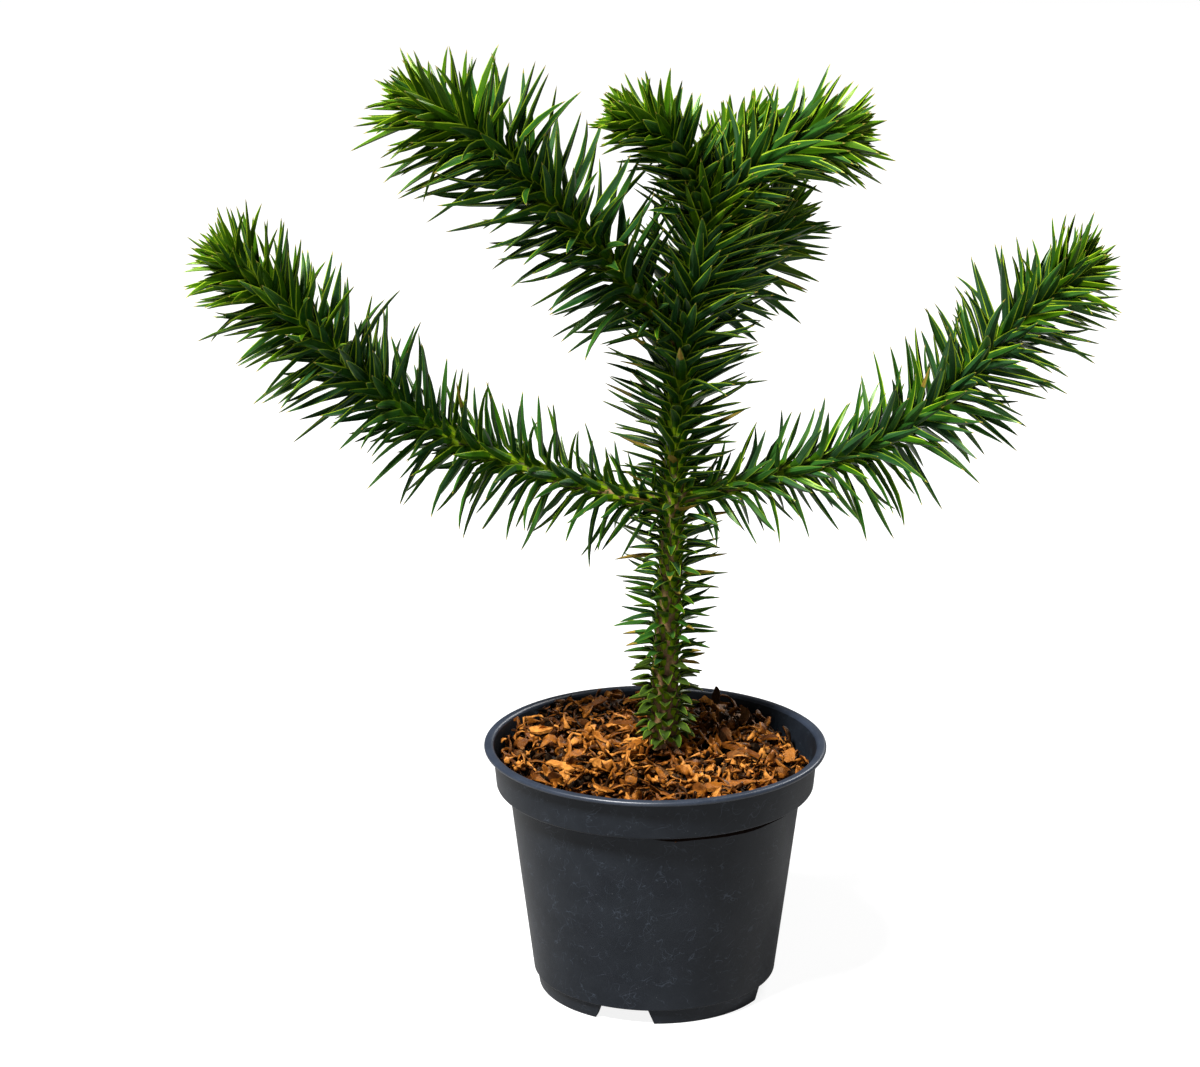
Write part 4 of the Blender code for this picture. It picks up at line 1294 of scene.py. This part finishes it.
# how far the turn outwards and the end of the wrap take: per foot, at least, per blade
TURN_OVER, UNWRAP_OVER = (0.45, 0.0008, 0.17), (0.6, 0.0015)
TRUNK_WIDTHS = ((0.006, 0.011, 0.0215, 0.030), (0.0024, 0.0018, 0.0016, 0.0021))
CROWN_WIDTH, BOUGH_WIDTH = (0.0017, 0.027), (0.0010, 0.039)  # least, and more per length
BLADE_FOLD = 0.42
LINE_POINTS = 49
CURL_POWER, SAG_POWER = 1.5, 1.4
TWIST_FROM, TWIST_OVER = 0.15, 0.6
FLAT = 0.01


def half_width(name, length):
    """Half the width of a leaf: trunk leaves are broad even when short."""
    if name == "trunk":
        return float(np.interp(length, *TRUNK_WIDTHS))
    least, more = CROWN_WIDTH if name in CROWN_LIMBS else BOUGH_WIDTH
    return least + more * length


def smooth_step(x):
    """0 up to 0, 1 from 1 on, and a soft S between."""
    x = np.clip(x, 0, 1)
    return x * x * (3 - 2 * x)


def bent_leaf(spot, tangent, radial, length, angle, curl, sag, stem, twist, foot, half):
    """The leaf's points. spot is on the limb's axis where the blade leaves the stem."""
    whole = foot + length
    run = np.linspace(0, whole, LINE_POINTS)
    turn_over = TURN_OVER[0] * foot + TURN_OVER[1] + TURN_OVER[2] * length
    turning = smooth_step((run - TURN_FROM * foot) / turn_over)
    beyond = np.clip((run - foot) / length, 0, 1)
    bend = FOOT_ANGLE + (angle - FOOT_ANGLE) * turning + curl * beyond ** CURL_POWER
    steps = np.outer(np.cos(bend), tangent) + np.outer(np.sin(bend), radial)
    steps[:, 2] -= sag * beyond ** SAG_POWER
    steps /= np.linalg.norm(steps, axis=1)[:, None]
    start = spot - tangent * foot * FOOT_OVERLAP + radial * stem
    middles = (steps[1:] + steps[:-1]) / 2
    walked = np.vstack([np.zeros(3), np.cumsum(middles, axis=0)])
    line = start + walked * (whole / (LINE_POINTS - 1))
    surfacing = smooth_step(run / (SURFACED_AT * foot))
    line += np.outer(surfacing * (FOOT_DEPTH + FOOT_RISE) - FOOT_DEPTH, radial)

    t = np.clip(LEAF_POINTS[:, 0], 0, 1)
    along = np.interp(t, (0, FOOT_PLACE, 1), (0, foot, whole))
    place = np.column_stack([np.interp(along, run, line[:, k]) for k in range(3)])
    ahead = np.column_stack([np.interp(along, run, steps[:, k]) for k in range(3)])
    ahead /= np.linalg.norm(ahead, axis=1)[:, None]
    across = np.cross(tangent, radial)
    inward = np.cross(ahead, across)
    turn = (twist * smooth_step((t - TWIST_FROM) / TWIST_OVER))[:, None]
    sideways = across * np.cos(turn) + inward * np.sin(turn)
    inner = inward * np.cos(turn) - across * np.sin(turn)

    y = LEAF_POINTS[:, 1] * half
    unwrap_over = UNWRAP_OVER[0] * foot + UNWRAP_OVER[1]
    wrap = 1 - smooth_step((along - WRAPPED_TO * foot) / unwrap_over)
    around = np.clip(np.abs(y) / (stem + FOOT_SKIN), 0, FOOT_WRAP_LIMIT)
    hug = (stem + FOOT_SKIN) * (1 - np.cos(around))
    drop = wrap * hug + (1 - wrap) * BLADE_FOLD * np.abs(y)
    bent = np.where(around > FLAT, np.sin(around) / np.maximum(around, FLAT), 1)
    aside = y * (wrap * bent + 1 - wrap)
    lift = LEAF_POINTS[:, 2] * half
    return place + sideways * aside[:, None] + inner * (drop + lift)[:, None]


print("a leaf's foot is", FOOT_LENGTH_ELSEWHERE / MM, "mm long on the boughs")

# %% [markdown]
# A leaf's kind follows its age. The tables give, as shares of each limb, where fresh growth
# begins and from where the older leaves have a brighter edge. The lowest leaves of the trunk are
# weathered, and a few on every limb are dry, or dry at the tip.

# %% Kinds of leaves
# Fresh growth starts later on the lower right bough than on the lower left: its older, darker
# leaves are painted shade.
FRESH_FROM = {
    "trunk": 0.9, "lower_left": 0.68, "lower_right": 0.80, "upper_left": 0.60,
    "top_right": 0.15, "top_left": 0.15, "top_back": 0.1, "back_right": 0.2,
}
EDGED_FROM = {
    "trunk": 0.3, "lower_left": 0.6, "lower_right": 0.6, "upper_left": 0.35,
    "top_right": 0, "top_left": 0, "top_back": 0, "back_right": 0,
}
DRY, DRY_TIP, EDGED_DEEP, EDGED_GREEN, WEATHERED = range(5, 10)
DRY_CHANCE = {"trunk": 0.09}
DRY_CHANCE_ELSEWHERE = 0.008
DRY_UP_TO, DRY_ALL_OVER = 0.75, 0.25
WEATHERED_UP_TO = 0.17
AGE_AT_FOOT, AGE_GAIN, AGE_POWER, AGE_SCATTER = 0.9, 2.7, 0.9, 0.6
EDGED_BELOW, DEEP_BELOW = 2.5, 1.2


def leaf_kind(name, share, rng):
    """0 for the oldest green to 4 for the youngest; or one of the other kinds."""
    chance = rng.random()
    dry_below = DRY_CHANCE.get(name, DRY_CHANCE_ELSEWHERE)
    if chance < dry_below and share < DRY_UP_TO:
        return DRY if chance < DRY_ALL_OVER * dry_below else DRY_TIP
    youth = max(0.0, (share - FRESH_FROM[name]) / (1.0001 - FRESH_FROM[name]))
    age = AGE_AT_FOOT + AGE_GAIN * youth ** AGE_POWER + rng.gauss(0, AGE_SCATTER)
    if name == "trunk" and share < WEATHERED_UP_TO:
        return WEATHERED
    if share > EDGED_FROM[name] and age < EDGED_BELOW:
        return EDGED_DEEP if age < DEEP_BELOW else EDGED_GREEN
    return int(np.clip(round(age), 0, 4))


print("kinds of leaves: 5 ages of green, and", WEATHERED - 4, "others")

# %% [markdown]
# No two leaves stand quite alike, and those of the boughs are the most ragged. The crown is about
# as deep as the pot is wide, so leaves that point to the front or the back of a bough are shorter
# and lie closer to it. Before a leaf is kept it is tried against the other limbs: its middle line
# has to pass clear of them, and its points have to stay in the solids' box. A leaf that fails is
# tried again a little more open, more closed, turned, or shorter, and dropped if nothing helps.

# %% Clear of the other limbs
LIMB_CLEARANCE, LIMB_SAMPLE_STEP = 0.0006, 0.0015
MIDDLE_LINE, BEYOND_FOOT = 0.01, 0.3
LIMB_SAMPLES = {
    name: [(limb.point(s), limb.radius(s)) for s in np.arange(0, limb.length, LIMB_SAMPLE_STEP)]
    for name, limb in LIMBS.items()}
OUTER_ROWS = np.where((np.abs(LEAF_POINTS[:, 1]) < MIDDLE_LINE)
                      & (LEAF_POINTS[:, 0] > BEYOND_FOOT))[0]


def limb_obstacles(name):
    """Points and radii of the other limbs."""
    samples = [sample for other in LIMBS if other != name for sample in LIMB_SAMPLES[other]]
    return np.array([point[:] for point, _ in samples]), np.array([radius for _, radius in samples])


def clear_of(points, obstacles):
    """Whether all points keep their distance from the obstacles."""
    places, radii = obstacles
    gaps = np.linalg.norm(points[:, None] - places[None], axis=2) - radii[None]
    return gaps.min() > LIMB_CLEARANCE


print("samples of the limbs:", sum(len(samples) for samples in LIMB_SAMPLES.values()))

# %% Growing the leaves
# how far a leaf is turned and opened (degrees), and its length
TRIES = ((0, 0, 1), (0, 10, 0.95), (0, -10, 0.9), (18, 0, 0.9), (-18, 0, 0.9), (0, 0, 0.6))
FIRST_LEAF = 0.003
CROWN_DEPTH = 0.0645
RAGGED_BOUGHS = 1.3
LENGTH_SPREAD = (0.74, 1.16, 1.02)
LENGTH_SPREAD_BOUGHS = (0.66, 1.26, 1.06)
ANGLE_SCATTER, CURL_SCATTER, TURN_SCATTER = 6.5, 0.20, 6
TWIST_SCATTER = {"trunk": 0.22}
TWIST_SCATTER_ELSEWHERE = 0.40
UNDERSIDE_OPENING = {"top_right": 4, "top_left": 6, "top_back": 6, "back_right": 8}
UNDERSIDE_OPENING_ELSEWHERE = 18
UNDERSIDE_LONGER, UNDERSIDE_SAG, LEVEL_SAG = 0.18, 0.14, 0.04
UNDERSIDE_TIP_FADE = 4
UPPER_CLOSING = 5.0
FRONT_SHORTER, FRONT_CLOSING = 0.36, 14.0
FOOT_SHARE, FOOT_LEAST = 0.45, 0.0015
LOW, HIGH = (np.array(corner) for corner in SOLID_BOX)


def grow_limb(name, rng):
    """All leaves of a limb: a list of (points, kind)."""
    limb = LIMBS[name]
    obstacles = limb_obstacles(name)
    hang = UNDERSIDE_OPENING.get(name, UNDERSIDE_OPENING_ELSEWHERE)
    ragged = RAGGED_BOUGHS if name in BOUGHS else 1.0
    spread = LENGTH_SPREAD_BOUGHS if name in BOUGHS else LENGTH_SPREAD
    leaves = []
    for k in range(LEAF_COUNTS[name]):
        share = leaf_share(name, k)
        s = share * limb.length
        length = by_share(LEAF_LENGTHS[name], share) * rng.triangular(*spread)
        angle = by_share(LEAF_ANGLES[name], share) + rng.gauss(0, ANGLE_SCATTER * ragged)
        curl = rng.gauss(0, CURL_SCATTER * ragged)
        twist = rng.gauss(0, TWIST_SCATTER.get(name, TWIST_SCATTER_ELSEWHERE))
        kind = leaf_kind(name, share, rng)
        wander = rng.gauss(0, TURN_SCATTER * ragged)
        if s < FIRST_LEAF:
            continue
        tangent, side, up = (np.array(v) for v in limb.frame(s))
        stem, spot = limb.radius(s), np.array(limb.point(s))
        level = 1 - abs(tangent[2])
        for swing, opening, shrink in TRIES:
            turn = k * GOLDEN_ANGLE + math.radians(wander + swing)
            radial = side * math.cos(turn) + up * math.sin(turn)
            fade = min(1.0, UNDERSIDE_TIP_FADE * (1 - share))
            under = max(0.0, -radial[2]) * level * fade
            over = max(0.0, radial[2]) * level
            facing = radial[1] ** 2 * level * (name in BOUGHS)
            opened = math.radians(angle + opening - UPPER_CLOSING * over + hang * under
                                  - FRONT_CLOSING * facing)
            blade = (length * shrink * (1 + UNDERSIDE_LONGER * under)
                     * (1 - FRONT_SHORTER * facing))
            foot = min(FOOT_LENGTH.get(name, FOOT_LENGTH_ELSEWHERE),
                       FOOT_SHARE * blade + FOOT_LEAST)
            sag = UNDERSIDE_SAG * under + LEVEL_SAG * level
            points = bent_leaf(spot, tangent, radial, blade, opened, curl, sag, stem, twist,
                               foot, half_width(name, blade))
            inside = (points > LOW).all() and (points < HIGH).all()
            inside = inside and np.abs(points[:, 1]).max() < CROWN_DEPTH
            if inside and clear_of(points[OUTER_ROWS], obstacles):
                leaves.append((points, kind))
                break
    return leaves


RNG = random.Random(5)
GROWN = {name: grow_limb(name, RNG) for name in LIMBS}
for name, leaves in GROWN.items():
    print(name, len(leaves), "leaves of", LEAF_COUNTS[name])
print("leaves kept:", sum(len(leaves) for leaves in GROWN.values()))

# %% [markdown]
# The leaves of one limb are joined to one mesh, and it stands for the masses of foliage that the
# solids have on that limb. A table maps a leaf's kind and a face's place to its finish.

# %% Joining the leaves
# blade, margin, foot, shoulder, spine and tip of each kind of leaf, by number of the finish
FINISH_OF = np.array([
    [0, 5, 8, 2, 9, 0], [1, 5, 8, 3, 9, 1], [2, 6, 8, 3, 9, 2], [3, 6, 8, 4, 9, 3],
    [4, 7, 8, 4, 9, 4], [10, 10, 8, 1, 9, 10], [1, 5, 8, 3, 9, 10], [0, 6, 8, 2, 9, 0],
    [1, 6, 8, 3, 9, 1], [11, 5, 8, 11, 10, 11]])
LEAF_NODES = {
    "trunk": ["trunk_lower_foliage", "trunk_upper_foliage", "leader_foliage"],
    **{name: [name + "_inner_foliage", name + "_outer_foliage"] for name in BOUGHS},
    **{name: [name + "_foliage"] for name in CROWN_LIMBS},
}
UV_STEP = (3.7, 1.3)
LEAF_SMOOTHING = 38


def join_leaves(name, leaves):
    """One mesh of all the leaves, with their finishes by face and the veins' UV map."""
    count = len(LEAF_POINTS)
    points = np.vstack([leaf_points for leaf_points, _ in leaves])
    faces = [tuple(k * count + v for v in face) for k in range(len(leaves)) for face in LEAF_FACES]
    slots = np.concatenate([FINISH_OF[kind][LEAF_PLACES] for _, kind in leaves])
    obj = piece_from_arrays(name + "_leaves", points.tolist(), faces, LEAF_FINISHES, slots)
    corners = LEAF_POINTS[np.concatenate([np.array(face) for face in LEAF_FACES])]
    uvs = [np.column_stack([corners[:, 1] * 0.5 + k * UV_STEP[0], corners[:, 0] + k * UV_STEP[1]])
           for k in range(len(leaves))]
    uv_map = obj.data.uv_layers.new(name="blade")
    uv_map.data.foreach_set("uv", np.concatenate(uvs).ravel().astype(np.float32))
    smooth_by_angle(obj, LEAF_SMOOTHING)
    return obj


for name, leaves in GROWN.items():
    foliage = join_leaves(name, leaves)
    finish_piece(foliage, LEAF_NODES[name])

# %% [markdown]
# ## The stems
#
# Between the leaf feet the stem shows as tan and olive bark. A plain bevelled curve would be a
# smooth hose. Here each stem is a fine tube whose rings are pushed in and out: a low cushion under
# every leaf foot, and a noise for the bark.

# %% Stem finish
def make_bark(name, colour, patch):
    return new_finish(name, colour, patch, 420.0, 0.9, 0.62, 0.25, (2200.0, 500.0, 0.8),
                      (0.5, 0.0004))


BARK_BROWN = make_bark("bark_brown", (0.23, 0.125, 0.055), (0.10, 0.055, 0.024))
BARK_OLIVE = make_bark("bark_olive", (0.110, 0.085, 0.022), (0.25, 0.145, 0.062))
BARK_GREEN = make_bark("bark_green", (0.028, 0.050, 0.005), (0.085, 0.066, 0.014))
print("bark finishes:", BARK_BROWN.name, BARK_OLIVE.name, BARK_GREEN.name)

# %% Stem tubes
STEM_SIDES, STEM_SMOOTHING = 28, 60
RING_STEP = 0.0008
FOOT_FLARE, FOOT_FLARE_FADE = 0.0007, 0.0028
CUSHION_HEIGHT, CUSHION_TAPER = 0.0002, 0.6
CUSHION_LENGTH, CUSHION_HALF_WIDTH, CUSHION_TOE = 0.0055, 0.0022, 0.0012
CUSHION_REACH = 0.006
BARK_ROUGHNESS = ((900, 0.00022), (260, 0.0003))  # scale and height of each noise
BARK_AGE_SCALE, BARK_AGE_SCATTER = 230, 0.6
BROWN_TO, OLIVE_TO, BOUGH_OLIVE_TO = 0.18, 0.5, 0.15


def cushion(feet, s, turns, radius):
    """Height of the leaf cushions at distance s and these turns."""
    height = np.zeros(len(turns))
    for foot, foot_turn in feet[np.abs(feet[:, 0] - s) < CUSHION_REACH]:
        back = foot - s
        along = min(max(back / CUSHION_LENGTH, 0.0), 1.0)
        width = CUSHION_HALF_WIDTH * (1 - along)
        if back < -CUSHION_TOE or width < HAIR:
            continue
        away = np.abs((turns - foot_turn + math.pi) % (2 * math.pi) - math.pi) * radius
        height = np.maximum(height, np.clip(1 - away / width, 0, 1)
                            * (1 - along * CUSHION_TAPER))
    return height * CUSHION_HEIGHT


def stem_tube(name):
    """A tube of rings along a limb, closed at both ends."""
    limb = LIMBS[name]
    feet = np.array([(leaf_share(name, k) * limb.length, (k * GOLDEN_ANGLE) % math.tau)
                     for k in range(LEAF_COUNTS[name])])
    distances = np.arange(0, limb.length, RING_STEP)
    turns = math.tau * np.arange(STEM_SIDES) / STEM_SIDES
    points = []
    for s in distances:
        tangent, side, up = (np.array(v) for v in limb.frame(s))
        radius = limb.radius(s) + cushion(feet, s, turns, limb.radius(s))
        if name == "trunk":
            radius = radius + FOOT_FLARE * math.exp(-s / FOOT_FLARE_FADE)
        centre = np.array(limb.point(s))
        for turn, r in zip(turns, radius):
            out = side * math.cos(turn) + up * math.sin(turn)
            spot = Vector(centre + out * r)
            rough = sum(noise.noise(spot * scale) * height for scale, height in BARK_ROUGHNESS)
            points.append(centre + out * (r + rough))
    rings = len(distances)
    faces = []
    for r in range(rings - 1):
        for k in range(STEM_SIDES):
            after = (k + 1) % STEM_SIDES
            faces.append((r * STEM_SIDES + k, r * STEM_SIDES + after,
                          (r + 1) * STEM_SIDES + after, (r + 1) * STEM_SIDES + k))
    faces.append(tuple(reversed(range(STEM_SIDES))))
    faces.append(tuple(range((rings - 1) * STEM_SIDES, rings * STEM_SIDES)))
    slots = [bark_slot(name, face[0] // STEM_SIDES / rings, points[face[0]]) for face in faces]
    obj = piece_from_arrays(name + "_stem", [tuple(p) for p in points], faces,
                            [BARK_BROWN, BARK_OLIVE, BARK_GREEN], slots)
    smooth_by_angle(obj, STEM_SMOOTHING)
    return obj


def bark_slot(name, share, spot):
    """Brown at the trunk's foot, olive further up, green on young wood."""
    age = share + noise.noise(Vector(spot) * BARK_AGE_SCALE) * BARK_AGE_SCATTER
    if name == "trunk":
        return 0 if age < BROWN_TO else 1 if age < OLIVE_TO else 2
    return 1 if age < BOUGH_OLIVE_TO else 2


STEM_NODES = {"trunk": ["trunk"], **{name: [name + "_bough"] for name in BOUGHS}}
for name in LIMBS:
    finish_piece(stem_tube(name), STEM_NODES.get(name, []))
